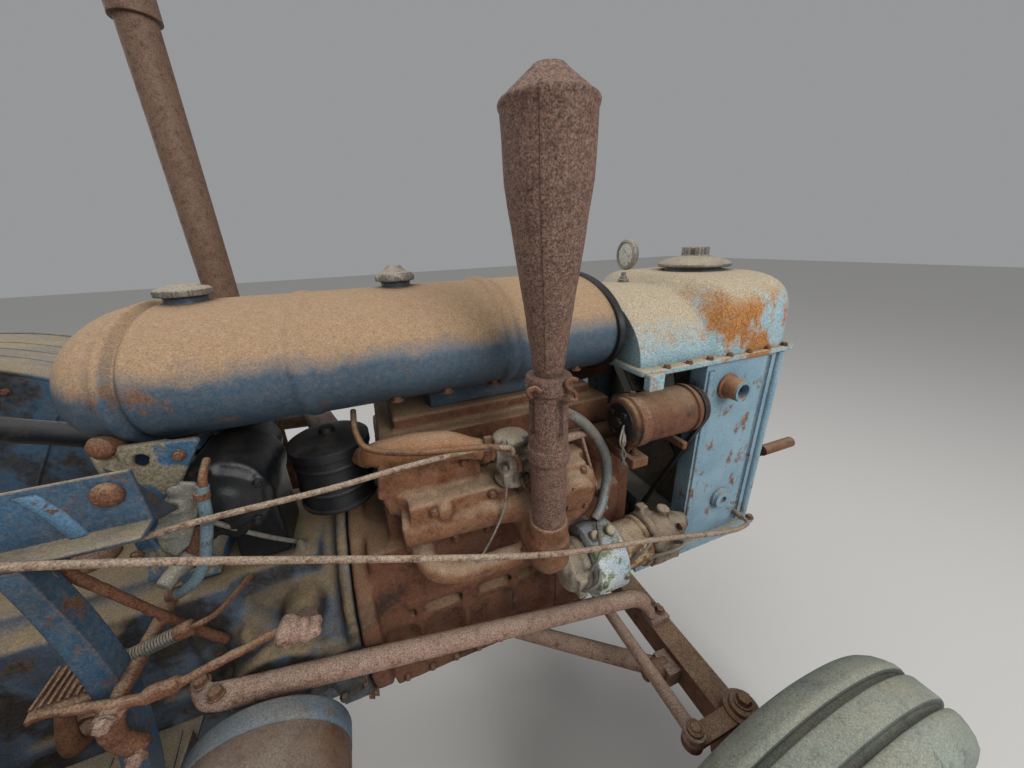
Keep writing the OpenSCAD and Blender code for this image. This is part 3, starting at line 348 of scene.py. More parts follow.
NODE_FINISH = {
    "blue_enamel": ("dash_casting", "mudguards", "side_rails", "platform", "magneto"),
    "tank_enamel": ("fuel_tank",),
    "pale_enamel": ("radiator_tank", "radiator_frame"),
    "engine_iron": ("engine_block", "cylinder_head", "dynamo"),
    "manifold_iron": ("exhaust_manifold",),
    "silencer_steel": ("exhaust_stack",),
    "stack_steel": ("intake_stack",),
    "pulley_iron": ("belt_pulley",),
    "brace_steel": ("stay_tube", "radius_rod", "tie_rod"),
    "rusty_steel": ("crank_handle", "control_rods", "pedals_levers", "seat", "drawbar", "knuckle_right",
                    "knuckle_left", "front_axle", "drop_arm", "drag_link"),
    "casing": ("gearbox", "axle_housing"),
    "black_iron": ("steering_box", "air_cleaner"),
    "die_casting": ("carburettor",),
    "inlet_iron": ("inlet_pipe",),
    "dull_plate": ("caps_and_gauge", "fan"),
    "core_brass": ("radiator_core",),
    "wheel_enamel": ("front_rim_right", "front_rim_left", "rear_rim_right", "rear_rim_left"),
    "old_rubber": ("front_tyre_right", "front_tyre_left", "rear_tyre_right", "rear_tyre_left"),
    "black_rubber": ("fan_belt",),
    "hose_rubber": ("pipes",),
    "grip": ("steering_wheel",),
}


def dress_nodes():
    """Gives every CAD node its finish."""
    for finish, names in NODE_FINISH.items():
        for name in names:
            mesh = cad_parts[name].data
            mesh.materials.clear()
            mesh.materials.append(FINISH[finish])


def lay_floor():
    """A plain pale floor that the tyres stand on."""
    bpy.ops.mesh.primitive_plane_add(size=40)
    floor = bpy.context.object
    floor.name = "floor"
    pale = bpy.data.materials.new("pale_floor")
    pale.use_nodes = True
    pale.node_tree.nodes["Principled BSDF"].inputs["Base Color"].default_value = colour("#DAD8D4")
    pale.node_tree.nodes["Principled BSDF"].inputs["Roughness"].default_value = 0.9
    floor.data.materials.append(pale)


def piece(name, made_of, finish, body="chassis", smooth=38, bevel=0.0, stands_for=()):
    """Turns a mesh or a bmesh into one finished piece that rides on a body."""
    mesh = made_of
    if isinstance(made_of, bmesh.types.BMesh):
        mesh = bpy.data.meshes.new(name)
        bmesh.ops.recalc_face_normals(made_of, faces=made_of.faces)
        made_of.to_mesh(mesh)
        made_of.free()
    made = bpy.data.objects.new(name, mesh)
    bpy.context.collection.objects.link(made)
    mesh.materials.clear()
    mesh.materials.append(FINISH[finish])
    for face in mesh.polygons:
        face.use_smooth = smooth > 0
    if smooth:
        mesh.set_sharp_from_angle(angle=math.radians(smooth))
    if bevel:
        rounding = made.modifiers.new("rounded_edges", "BEVEL")
        rounding.width, rounding.segments, rounding.limit_method, rounding.angle_limit = bevel / 1000, 2, "ANGLE", 0.6
    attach(made, body)
    if stands_for:
        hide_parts(*stands_for)
    return made


def skin(bm, rings, ends=True):
    """Skins rings of equal point counts, each a list of places."""
    loops = [[bm.verts.new(p) for p in ring] for ring in rings]
    for low, high in zip(loops, loops[1:]):
        count = len(low)
        for i in range(count):
            bm.faces.new((low[i], low[(i + 1) % count], high[(i + 1) % count], high[i]))
    if ends:
        bm.faces.new(loops[0][::-1])
        bm.faces.new(loops[-1])


def rounded(points, per_span=6):
    """A rounded path through the points."""
    points = [Vector(p) for p in points]
    ends = [points[0]] + points + [points[-1]]
    out = []
    for i in range(1, len(ends) - 2):
        p0, p1, p2, p3 = ends[i - 1 : i + 3]
        for s in range(per_span):
            t = s / per_span
            out.append(0.5 * ((2 * p1) + (p2 - p0) * t + (2 * p0 - 5 * p1 + 4 * p2 - p3) * t * t
                              + (3 * p1 - p0 - 3 * p2 + p3) * t**3))
    out.append(points[-1])
    return out


def tube(bm, points, radius, sides=14, bend=6, flat=None):
    """A round bar along a path. radius in mm, one number or one for each point; flat gives, for each
    point, how much the bar is squashed across."""
    count = len(points)
    path = rounded(points, bend) if bend and count > 2 else [Vector(p) for p in points]

    def along(values, i):
        if isinstance(values, (int, float)):
            return values
        t = i * (count - 1) / (len(path) - 1)
        low = min(int(t), count - 2)
        return values[low] + (values[low + 1] - values[low]) * (t - low)

    side = None
    rings = []
    for i, spot in enumerate(path):
        way = (path[min(i + 1, len(path) - 1)] - path[max(i - 1, 0)]).normalized()
        side = way.orthogonal().normalized() if side is None else (side - way * side.dot(way)).normalized()
        across = way.cross(side)
        r, press = along(radius, i) / 1000, along(flat, i) if flat else 1.0
        rings.append([spot + side * (cos(a) * r) + across * (sin(a) * r * press) for a in around(sides)])
    skin(bm, rings)


def turned(bm, start, axis, rows, sides=40):
    """Rows of distance along the axis and radius, in mm, turned about the axis."""
    axis = Vector(axis).normalized()
    u = axis.orthogonal().normalized()
    v = axis.cross(u)
    skin(bm, [[start + axis * (d / 1000) + (u * cos(a) + v * sin(a)) * (max(r, 0.2) / 1000) for a in around(sides)]
              for d, r in rows])


def block(bm, x, y, z):
    """A block between two places on each axis, in mm from the datum."""
    low, high = at(x[0], y[0], z[0]), at(x[1], y[1], z[1])
    c = [bm.verts.new((i, j, k)) for k in (low.z, high.z) for j in (low.y, high.y) for i in (low.x, high.x)]
    for face in ((0, 2, 3, 1), (4, 5, 7, 6), (0, 1, 5, 4), (2, 6, 7, 3), (0, 4, 6, 2), (1, 3, 7, 5)):
        bm.faces.new([c[i] for i in face])


def plate(bm, outline, way, thick):
    """A flat plate: an outline of places pushed along way by thick mm."""
    way = Vector(way).normalized() * thick / 1000
    skin(bm, [[Vector(p) for p in outline], [Vector(p) + way for p in outline]])


def pierced(bm, outline, hole, reach_mm, sides, way, thick):
    """A flat plate with one hole: every corner of the hole looks out to the plate's edge."""
    outline, hole, way = [Vector(p) for p in outline], Vector(hole), Vector(way).normalized()
    u = (outline[0] - hole).normalized()
    v = way.cross(u)
    turns = sorted({math.atan2((p - hole).dot(v), (p - hole).dot(u)) for p in outline} | {k * tau / sides - pi
            for k in range(sides)})
    outer, inner = [], []
    for a in turns:
        ray = u * cos(a) + v * sin(a)
        reach = []
        for p, q in zip(outline, outline[1:] + outline[:1]):
            side = (q - p).cross(way)
            if abs(ray.dot(side)) > 1e-9:
                d = (p - hole).dot(side) / ray.dot(side)
                if d > 0 and -1e-6 < (hole + ray * d - p).dot(q - p) / (q - p).length_squared < 1 + 1e-6:
                    reach.append(d)
        outer.append(hole + ray * min(reach))
        inner.append(hole + ray * (reach_mm / 1000))
    push = way * (thick / 1000)
    rings = [outer, [p + push for p in outer], [p + push for p in inner], inner]
    loops = [[bm.verts.new(p) for p in ring] for ring in rings]
    for one, other in zip(loops, loops[1:] + loops[:1]):
        for i in range(len(turns)):
            j = (i + 1) % len(turns)
            bm.faces.new((one[i], one[j], other[j], other[i]))


def uneven(mesh, depth_mm, size_mm, seed=0.0):
    """Dents and waves of a used surface: every point moves in along its normal by up to depth_mm."""
    ways = [v.normal.copy() for v in mesh.vertices]
    for v, way in zip(mesh.vertices, ways):
        wave = noise.noise(v.co * (1000 / size_mm) + Vector((seed, seed, seed)))
        fine = noise.noise(v.co * (3500 / size_mm) + Vector((seed, 0, seed)))
        v.co -= way * (depth_mm / 1000) * min(max(0.5 + 0.8 * wave + 0.3 * fine, 0), 1)


def baked(holder, name):
    """The mesh that the holder's modifiers make of it; the holder itself goes."""
    mesh = bpy.data.meshes.new_from_object(holder.evaluated_get(bpy.context.evaluated_depsgraph_get()))
    bpy.data.objects.remove(holder)
    mesh.name = name
    return mesh


def dented(name, bm, finish, depth_mm, size_mm, seed=0.0, **more):
    """A closed skin with the dents of use, as one piece."""
    mesh = bpy.data.meshes.new(name)
    bmesh.ops.recalc_face_normals(bm, faces=bm.faces)
    bm.to_mesh(mesh)
    bm.free()
    uneven(mesh, depth_mm, size_mm, seed)
    piece(name, mesh, finish, **more)


def cast(name, bm, nodes, finish, grain_mm, body="chassis", rounds=3, dents=0.8, dent_mm=40, stands_for=None):
    """One rough casting out of overlapping shapes: CAD nodes' copies and extra forms melt into one skin
    with soft corners, as sand casting leaves them."""
    bm = bm or bmesh.new()
    for node in nodes:
        copy = bmesh.new()
        copy.from_mesh(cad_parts[node].data)
        bmesh.ops.remove_doubles(copy, verts=copy.verts, dist=0.00001)
        held = bpy.data.meshes.new("held")
        copy.to_mesh(held)
        copy.free()
        bm.from_mesh(held)
        bpy.data.meshes.remove(held)
    mesh = bpy.data.meshes.new(name)
    bm.to_mesh(mesh)
    bm.free()
    holder = bpy.data.objects.new(name, mesh)
    bpy.context.collection.objects.link(holder)
    melt = holder.modifiers.new("melt", "REMESH")
    melt.mode, melt.voxel_size = "VOXEL", grain_mm / 1000
    soften = holder.modifiers.new("soften", "SMOOTH")
    soften.factor, soften.iterations = 0.5, rounds
    ready = baked(holder, name)
    uneven(ready, dents, dent_mm)
    return piece(name, ready, finish, body, smooth=75, stands_for=nodes if stands_for is None else stands_for)


def bolt_tree():
    """Geometry Nodes: a hexagon head on its washer at each point, turned to the point's own way."""
    tree = bpy.data.node_groups.new("bolt_heads", "GeometryNodeTree")
    face = tree.interface
    face.new_socket("Places", in_out="INPUT", socket_type="NodeSocketGeometry")
    for name, value in (("Across", 0.017), ("Height", 0.008), ("Washer", 0.0023)):
        face.new_socket(name, in_out="INPUT", socket_type="NodeSocketFloat").default_value = value
    face.new_socket("Finish", in_out="INPUT", socket_type="NodeSocketMaterial")
    face.new_socket("Heads", in_out="OUTPUT", socket_type="NodeSocketGeometry")
    given = tree.nodes.new("NodeGroupInput").outputs
    half, crown, disc = (add(tree, "ShaderNodeMath", {0: given["Across"], 1: share}, operation="MULTIPLY")
            for share in (0.577, 0.5, 0.68))
    head = add(tree, "GeometryNodeMeshCone",
               {"Vertices": 6, "Radius Top": crown, "Radius Bottom": half, "Depth": given["Height"]})
    seat = add(tree, "GeometryNodeMeshCylinder", {"Vertices": 16, "Radius": disc, "Depth": given["Washer"]})
    joined = add(tree, "GeometryNodeJoinGeometry", {0: head})
    tree.links.new(seat, joined.node.inputs[0])
    way = add(tree, "GeometryNodeInputNamedAttribute", {"Name": "way"}, data_type="FLOAT_VECTOR")
    turn = add(tree, "FunctionNodeAlignRotationToVector", {"Vector": way}, axis="Z")
    spread = add(tree, "GeometryNodeInstanceOnPoints",
                 {"Points": given["Places"], "Instance": joined, "Rotation": turn})
    real = add(tree, "GeometryNodeRealizeInstances", {"Geometry": spread})
    done = add(tree, "GeometryNodeSetMaterial", {"Geometry": real, "Material": given["Finish"]})
    tree.links.new(done, tree.nodes.new("NodeGroupOutput").inputs[0])
    return tree


def bolt_on(name, rows, across_mm, finish, body="chassis"):
    """rows: a place and the way it faces. All heads of one size make one mesh."""
    mesh = bpy.data.meshes.new(name)
    mesh.from_pydata([tuple(p) for p, _ in rows], [], [])
    ways = mesh.attributes.new("way", "FLOAT_VECTOR", "POINT")
    for i, (_, way) in enumerate(rows):
        ways.data[i].vector = Vector(way).normalized()
    holder = bpy.data.objects.new(name, mesh)
    bpy.context.collection.objects.link(holder)
    heads = holder.modifiers.new("bolt_heads", "NODES")
    heads.node_group = BOLT_HEADS
    ids = {s.name: s.identifier for s in BOLT_HEADS.interface.items_tree
           if s.item_type == "SOCKET" and s.in_out == "INPUT"}
    heads[ids["Across"]], heads[ids["Height"]] = across_mm / 1000, across_mm * 0.5 / 1000
    heads[ids["Finish"]] = FINISH[finish]
    return piece(name, baked(holder, name), finish, body, smooth=0)


def make_fuel_tank():
    """Oval sheet steel tank with a domed rear end, rolled bands, filler necks and saddles."""
    half_w, half_h, mid_z, rear, front, dome = 190, 105, 1220, 725, 1528, 92
    rear_cap, front_cap = 790, 1122
    stations = [(rear - dome * sin(a), cos(a)) for a in (pi / 2 * (1 - k / 14) for k in range(14))]
    # close stations at the rolled bands, wide ones along the plain barrel
    barrel = sorted({*range(rear, 1510, 12), *range(718, 762, 2), *range(936, 974, 3), *range(1270, 1308, 3)})
    stations += [(x, 1.0) for x in barrel if x > rear] + [(front - 16, 0.998), (front - 8, 0.99), (front - 3, 0.975),
            (front, 0.95)]
    # rows: place, half width and height of each rolled band
    bands = ((733, 7, 5), (954, 11, 3.2), (1288, 11, 6))
    bm = bmesh.new()
    rings = []
    for x, size in stations:
        lift = sum(high * math.exp(-(((x - place) / half) ** 4)) for place, half, high in bands)
        lift -= 5 * math.exp(-(((x - 747) / 4) ** 2)) + 2.5 * math.exp(-(((x - 1306) / 3) ** 2))
        across, up = half_w * max(size, 0.002) + lift, half_h * max(size, 0.002) + lift
        rings.append([at(x, across * cos(a), mid_z + up * sin(a)) for a in around(96)])
    skin(bm, rings)
    dented("fuel_tank_shell", bm, "tank_enamel", 0.9, 140, stands_for=("fuel_tank",))
    fit = bmesh.new()
    for x, r in ((rear_cap, 30), (front_cap, 27)):
        turned(fit, at(x, 0, 1305), UP, ((0, r + 5), (14, r + 5), (18, r), (29, r)))
    block(fit, (1150, 1400), (-70, 70), (1088, 1140))
    block(fit, (735, 780), (-110, 110), (1108, 1127))
    piece("tank_necks_and_saddles", fit, "tank_enamel", bevel=1.5)
    # strap round the tank's front end
    strap = bmesh.new()
    skin(strap, [[at(x, r * cos(a) * half_w / half_h, mid_z + r * sin(a)) for a in around(96)]
                 for x, r in ((1506, 106), (1507, 109), (1520, 109), (1521, 106))], ends=False)
    piece("tank_strap", strap, "black_iron")
    caps = bmesh.new()
    turned(caps, at(rear_cap, 0, 1334), UP, ((0, 34), (1, 38), (10, 38), (13, 35), (15, 24), (17, 22), (18, 8)), 48)
    turned(caps, at(front_cap, 0, 1334), UP, ((0, 30), (2, 34), (12, 34), (16, 31), (18, 22), (26, 15), (29, 13),
            (30, 4)), 48)
    for x, r in ((rear_cap, 38), (front_cap, 34)):
        for a in around(12):
            tube(caps, [at(x + r * cos(a), r * sin(a), 1335.5), at(x + r * cos(a), r * sin(a), 1344)], 2.4, 8)
    return caps


def make_radiator_tank(caps):
    """Cast top tank: an arched rear half, a squarer and taller front half, and the valley between."""
    filler_x, valley_x = 1878, 1706

    def front_edge(y, r):
        return 1440 + math.sqrt(r**2 - y * y)

    bm = bmesh.new()
    rings = []
    count = 64
    stations = list(range(1540, 1700, 20)) + list(range(1700, 1776, 6)) + list(range(1782, 1950, 14))
    front = [(1952 + 48 * sin(a), cos(a)) for a in (pi / 2 * k / 9 for k in range(10))]
    for x, open_to in [(x, 1.0) for x in stations] + front:
        t = min(max((x - valley_x) / 58, 0), 1)
        step = t * t * (3 - 2 * t)
        groove = math.exp(-(((x - valley_x) / 16) ** 2))
        half_w = 226 + 14 * step - 3 * groove
        high = 145 + 17 * step - 4 * groove
        power = 2.2 + 2.4 * step
        round_in = 46 * (1 - open_to)
        bow = min(max((x - 1780) / 170, 0), 1)
        ring = []
        for k in range(count + 1):
            a = pi * k / count
            y = -math.copysign(abs(cos(a)) ** (2 / power), cos(a)) * (half_w - round_in)
            z = abs(sin(a)) ** (2 / power) * (high - round_in)
            if x < 1548:
                y, z = y * 0.985, z * 0.985
            ring.append(at(x - bow * y * y / 1120, y, 1150 + z))
        rings.append(ring)
    skin(bm, rings)
    dented("radiator_tank_casting", bm, "header_enamel", 1.4, 70, smooth=60, stands_for=("radiator_tank",))
    # flange lip with its bolts and the tank's front lug
    lip = bmesh.new()
    outline = [(1530, -236), (1536, -244)] + [(x, -248) for x in range(1560, 1900, 40)]
    outline += [(front_edge(y, 568), y) for y in range(-246, -60, 20)]
    outline = outline + [(front_edge(y, 568), y) for y in range(-60, 61, 20)] + [(x, -y) for x, y in reversed(outline)]
    plate(lip, [at(x, y, 1144) for x, y in outline], UP, 12)
    for side in (-1, 1):
        block(lip, (1536, 1572), (side * 244 - 14, side * 244 + 4), (1118, 1152))
    turned(lip, at(filler_x, 0, 1300), UP, ((0, 70), (12, 68), (20, 64)), 48)
    piece("header_flange", lip, "header_enamel", bevel=2.5)
    rows = [(at(x, side * 241, 1157), UP) for side in (-1, 1) for x in range(1590, 1940, 56)]
    rows += [(at(front_edge(y, 555), y, 1157), UP) for y in (-165, -80, 0, 80, 165)]
    bolt_on("header_bolts", rows, 11, "rusty_steel")
    bolt_on("header_lug_bolts", [(at(1554, side * 249, 1134), (0, side, 0)) for side in (-1, 1)], 17, "rusty_steel")
    # filler: a wide dished lid under a lobed nut, and the thermometer on its stem
    turned(caps, at(filler_x, 0, 1320), UP, ((0, 86), (2, 88), (7, 88), (9, 85), (14, 76), (20, 58), (25, 38), (27, 30),
            (28, 6)), 64)
    for a in around(6):
        tube(caps, [at(filler_x + 24 * cos(a), 24 * sin(a), 1344), at(filler_x + 24 * cos(a), 24 * sin(a), 1366)],
             (9.5, 9), 12)
    turned(caps, at(filler_x, 0, 1344), UP, ((0, 27), (20, 26), (23, 22), (24, 5)), 6)
    turned(caps, at(1657, 0, 1293), UP, ((0, 13), (8, 13), (9, 9), (14, 9), (15, 6), (24, 6)), 24)
    dial = at(1666, 0, 1357)
    turned(caps, dial, BACK, ((-8, 20), (-7, 30), (-2, 34), (6, 35), (9, 33), (9.5, 28), (7, 27)), 48)
    piece("caps_and_gauge_trim", caps, "dull_plate", stands_for=("caps_and_gauge",))
    glass = bmesh.new()
    turned(glass, dial, BACK, ((6.5, 27.5), (7.6, 27), (8.2, 15), (8.4, 2)), 40)
    piece("gauge_glass", glass, "cloudy_glass")


def make_silencer():
    """Riser with its collar and slotted sleeve, the clamp's hooks, and the bulb-shaped silencer."""
    x0, y0 = 1300, -300
    bm = bmesh.new()
    turned(bm, at(x0, y0, 0), UP, ((880, 30), (1072, 30)), 44)
    turned(bm, at(x0, y0, 0), UP, ((1062, 31), (1064, 35), (1078, 35.5), (1086, 34), (1088, 31)), 44)
    # sleeve with long slots
    count = 56
    rings = []
    for z in range(1086, 1196, 4):
        ring = []
        for k in range(count):
            a = k * tau / count
            cut = 6 if (k % 14 in (0, 1, 2) and 1110 < z < 1176) else 0
            ring.append(at(x0 + (31 - cut) * cos(a), y0 + (31 - cut) * sin(a), z))
        rings.append(ring)
    skin(bm, rings)
    turned(bm, at(x0, y0, 0), UP, ((1182, 31), (1184, 35), (1190, 36), (1204, 36), (1209, 34), (1210, 27)), 44)
    piece("exhaust_riser", bm, "silencer_steel", smooth=30)
    bulb = bmesh.new()
    profile = [(1198, 24), (1200, 21)] + [(1200 + 264 * k / 22, 21 + 36 * k / 22) for k in range(1, 22)]
    profile += [(1461, 56.8), (1466, 57.2), (1490, 58), (1515, 58.9), (1540, 59.7), (1543, 61.2), (1547, 61.8),
                (1550, 60.4), (1552, 57)]
    profile += [(1552 + 29 * k / 6, 57 - 34 * k / 6) for k in range(1, 6)] + [(1581, 23), (1583.4, 21), (1584, 18),
            (1584, 6)]
    turned(bulb, at(x0, y0, 0), UP, profile, 72)
    # rolled seam up the silencer's side
    tube(bulb, [at(x0 + (r - 0.6) * cos(-2.2), y0 + (r - 0.6) * sin(-2.2), z) for z, r in profile[3:-8]], 1.6, 6,
         bend=0)
    dented("silencer_bulb", bulb, "silencer_steel", 1.1, 38, 3.0, smooth=50, stands_for=("exhaust_stack",))
    hook = bmesh.new()
    tube(hook, places((1306, -338, 1176), (1312, -346, 1182), (1322, -344, 1180), (1322, -340, 1190),
                      (1312, -341, 1198), (1308, -340, 1206), (1316, -340, 1212), (1326, -338, 1208)), 3.2, 10)
    tube(hook, places((1262, -318, 1186), (1256, -322, 1196), (1264, -326, 1202), (1272, -330, 1196)), 4, 10)
    piece("clamp_hook", hook, "rusty_steel")


def make_manifold():
    """Vaporiser manifold: three ports, a log above them, the exhaust elbow, a looping runner and the side plate."""
    bm = bmesh.new()
    for x in (1090, 1240, 1400):
        block(bm, (x - 34, x + 34), (-200, -160), (862, 988))
        tube(bm, places((x, -168, 905), (x, -215, 905)), 36, 20, bend=0)
    tube(bm, places((1056, -212, 925), (1240, -222, 930), (1300, -232, 925), (1380, -225, 928), (1434, -208, 930)),
         (30, 36, 44, 38, 32), 24)
    block(bm, (1070, 1420), (-236, -164), (950, 984))
    tube(bm, places((1082, -176, 884), (1084, -216, 868), (1098, -240, 846), (1140, -252, 832), (1200, -256, 832),
                    (1262, -266, 842)), 21, 20)
    tube(bm, places((1300, -206, 888), (1300, -250, 882), (1300, -292, 892), (1300, -300, 940)), (44, 42, 38, 35), 26)
    tube(bm, places((1300, -300, 900), (1300, -300, 852), (1300, -300, 836)), (40, 39, 30), 26)
    tube(bm, places((1384, -204, 936), (1384, -262, 930)), 40, 28, bend=0)
    tube(bm, places((1384, -262, 930), (1384, -270, 929)), 33, 28, bend=0)
    tube(bm, places((1340, -214, 862), (1400, -222, 870), (1440, -206, 890)), (26, 24, 20), 18)
    outline = [(1040, 944), (1030, 988), (1040, 1052), (1048, 1066), (1064, 1070), (1192, 1044), (1204, 1030),
               (1208, 985), (1150, 940)]
    pierced(bm, [at(x, -192, z) for x, z in outline], at(1066, -192, 1042), 11, 16, LEFT, 22)
    tube(bm, [at(x, -192, z) for x, z in outline[1:8]], 7, 12, bend=2)
    for x, y, z in ((1130, -242, 962), (1330, -246, 968), (1240, -240, 968)):
        turned(bm, at(x, y + 16, z), RIGHT, ((0, 15), (18, 14), (22, 10)), 16)
    cast("manifold_casting", bm, (), "manifold_iron", 4.5, rounds=4, dents=1.8, dent_mm=22,
         stands_for=("exhaust_manifold",))
    bolt_on("manifold_nuts",
            [(at(x, -238, z), RIGHT) for x, z in ((1112, 968), (1218, 972), (1272, 970), (1362, 966), (1408, 968))]
            + [(at(1180, -193, 1024), RIGHT), (at(1096, -193, 962), RIGHT)]
            + [(at(1384 + 27 * cos(a), -264, 930 + 27 * sin(a)), RIGHT) for a in (0.5, 2.1, 3.7, 5.3)], 13,
            "rusty_steel")


def make_inlet():
    """Bulged inlet pipe, its clamps, the carburettor and the air cleaner pot."""
    bm = bmesh.new()
    tube(bm, places((1006, -116, 1039), (1022, -146, 1052), (1046, -174, 1066), (1100, -191, 1072), (1152, -205, 1071),
                    (1192, -215, 1062), (1232, -224, 1050)), (17, 18, 24, 27, 26, 19, 17), 28)
    piece("inlet_pipe_bulged", bm, "inlet_iron", stands_for=("inlet_pipe",))
    clamp = bmesh.new()
    for a, b, r in (((1212, -219.4, 1055), (1224, -222.2, 1052), 22), ((1016, -135, 1047), (1023, -147, 1052), 21)):
        tube(clamp, places(a, b), r, 26, bend=0)
    block(clamp, (1212, 1226), (-232, -222), (1066, 1084))
    piece("inlet_clamps", clamp, "rusty_steel", bevel=1)
    c = bmesh.new()
    x0, y0, z0 = 1262, -225, 985
    turned(c, at(x0, y0, z0), UP, ((0, 33), (9, 33), (11, 25), (28, 24), (30, 32), (39, 32), (41, 24), (80, 25),
            (82, 33), (91, 33), (95, 24)), 36)
    turned(c, at(x0 + 38, y0 - 14, z0 + 20), UP, ((0, 14), (3, 22), (8, 26), (46, 27), (48, 29), (53, 29), (56, 20),
            (60, 8)), 36)
    tube(c, places((x0 - 34, y0, z0 + 65), (x0 + 20, y0, z0 + 65)), (23, 20), 24, bend=0)
    tube(c, places((x0, y0 - 18, z0 + 48), (x0, y0 - 46, z0 + 48)), 7, 12, bend=0)
    block(c, (x0 - 16, x0 + 16), (y0 - 34, y0 + 10), (z0 + 42, z0 + 58))
    block(c, (x0 - 26, x0 - 8), (y0 - 30, y0 - 8), (z0 + 8, z0 + 30))
    tube(c, places((x0 + 38, y0 - 14, z0 + 14), (x0 + 38, y0 - 14, z0 + 26)), 9, 12, bend=0)
    cast("carburettor_body", c, (), "die_casting", 2.6, rounds=2, dents=0.7, dent_mm=14, stands_for=("carburettor",))
    lever = bmesh.new()
    tube(lever, places((x0, y0 - 44, z0 + 48), (x0 - 4, y0 - 47, z0 + 66), (x0 - 14, y0 - 48, z0 + 82)), (7, 5, 5), 10)
    tube(lever, places((x0 + 6, y0 - 34, z0 + 20), (x0 + 8, y0 - 44, z0 + 6), (x0 + 22, y0 - 46, z0 - 6)), 3, 8)
    piece("carburettor_levers", lever, "rusty_steel")
    pot = bmesh.new()
    turned(pot, at(955, -70, 935), UP, ((0, 40), (3, 62), (8, 69), (13, 70), (15, 66), (40, 66), (42, 68), (46, 68),
            (48, 66), (90, 66), (92, 68), (96, 68), (98, 66), (112, 66), (114, 71), (131, 71), (134, 66), (139, 48),
            (143, 24), (145, 14), (154, 13), (155, 4)), 64)
    block(pot, (1000, 1030), (-90, -50), (950, 985))
    piece("air_cleaner_pot", pot, "black_iron", stands_for=("air_cleaner",))
    bolt_on("carburettor_nuts", [(at(x0 + dx, y0 - 22, z0 + z), UP) for dx in (-20, 20) for z in (11, 40, 92)], 10,
            "dull_plate")


def make_pipes():
    """Plug lead conduit with its bar, the hose beside the dash, and the fuel line."""
    conduit = bmesh.new()
    tube(conduit, places((1352, -168, 1080), (1392, -190, 1078), (1440, -198, 1040), (1480, -204, 975),
            (1488, -210, 910), (1462, -232, 862), (1436, -246, 842)), 11, 18, 8)
    piece("plug_lead_conduit", conduit, "worn_conduit", stands_for=("pipes",))
    bar = bmesh.new()
    tube(bar, places((1336, -188, 1014), (1440, -190, 1022)), 9, 14, bend=0)
    tube(bar, places((1430, -192, 1022), (1462, -205, 900), (1490, -215, 828)), 4, 10, 4)
    piece("conduit_bar", bar, "brace_steel")
    hose = bmesh.new()
    tube(hose, places((818, -230, 1108), (814, -231, 1090), (808, -232, 1053), (790, -232, 995), (769, -228, 960),
                      (745, -216, 938), (718, -196, 916)), 7.5, 16, 8)
    piece("water_hose", hose, "hose_rubber")
    clips = bmesh.new()
    tube(clips, places((815, -231, 1100), (813.5, -231, 1091)), 9.5, 20, bend=0)
    tube(clips, places((730, -205, 926), (722, -199, 920)), 9.5, 20, bend=0)
    tube(clips, places((820, -200, 1130), (822, -222, 1126), (820, -229, 1116), (818, -230, 1104)), (5, 5, 5.5, 5.5),
         14)
    tube(clips, places((722, -199, 919), (706, -186, 906), (700, -168, 900)), (6, 6, 8), 14)
    piece("hose_clips", clips, "rusty_steel")
    line = bmesh.new()
    tube(line, places((1010, -120, 1131), (1012, -180, 1118), (1030, -214, 1100), (1100, -250, 1096),
                      (1195, -272, 1094), (1245, -268, 1075)), 5, 12, 6)
    piece("fuel_line", line, "worn_copper")


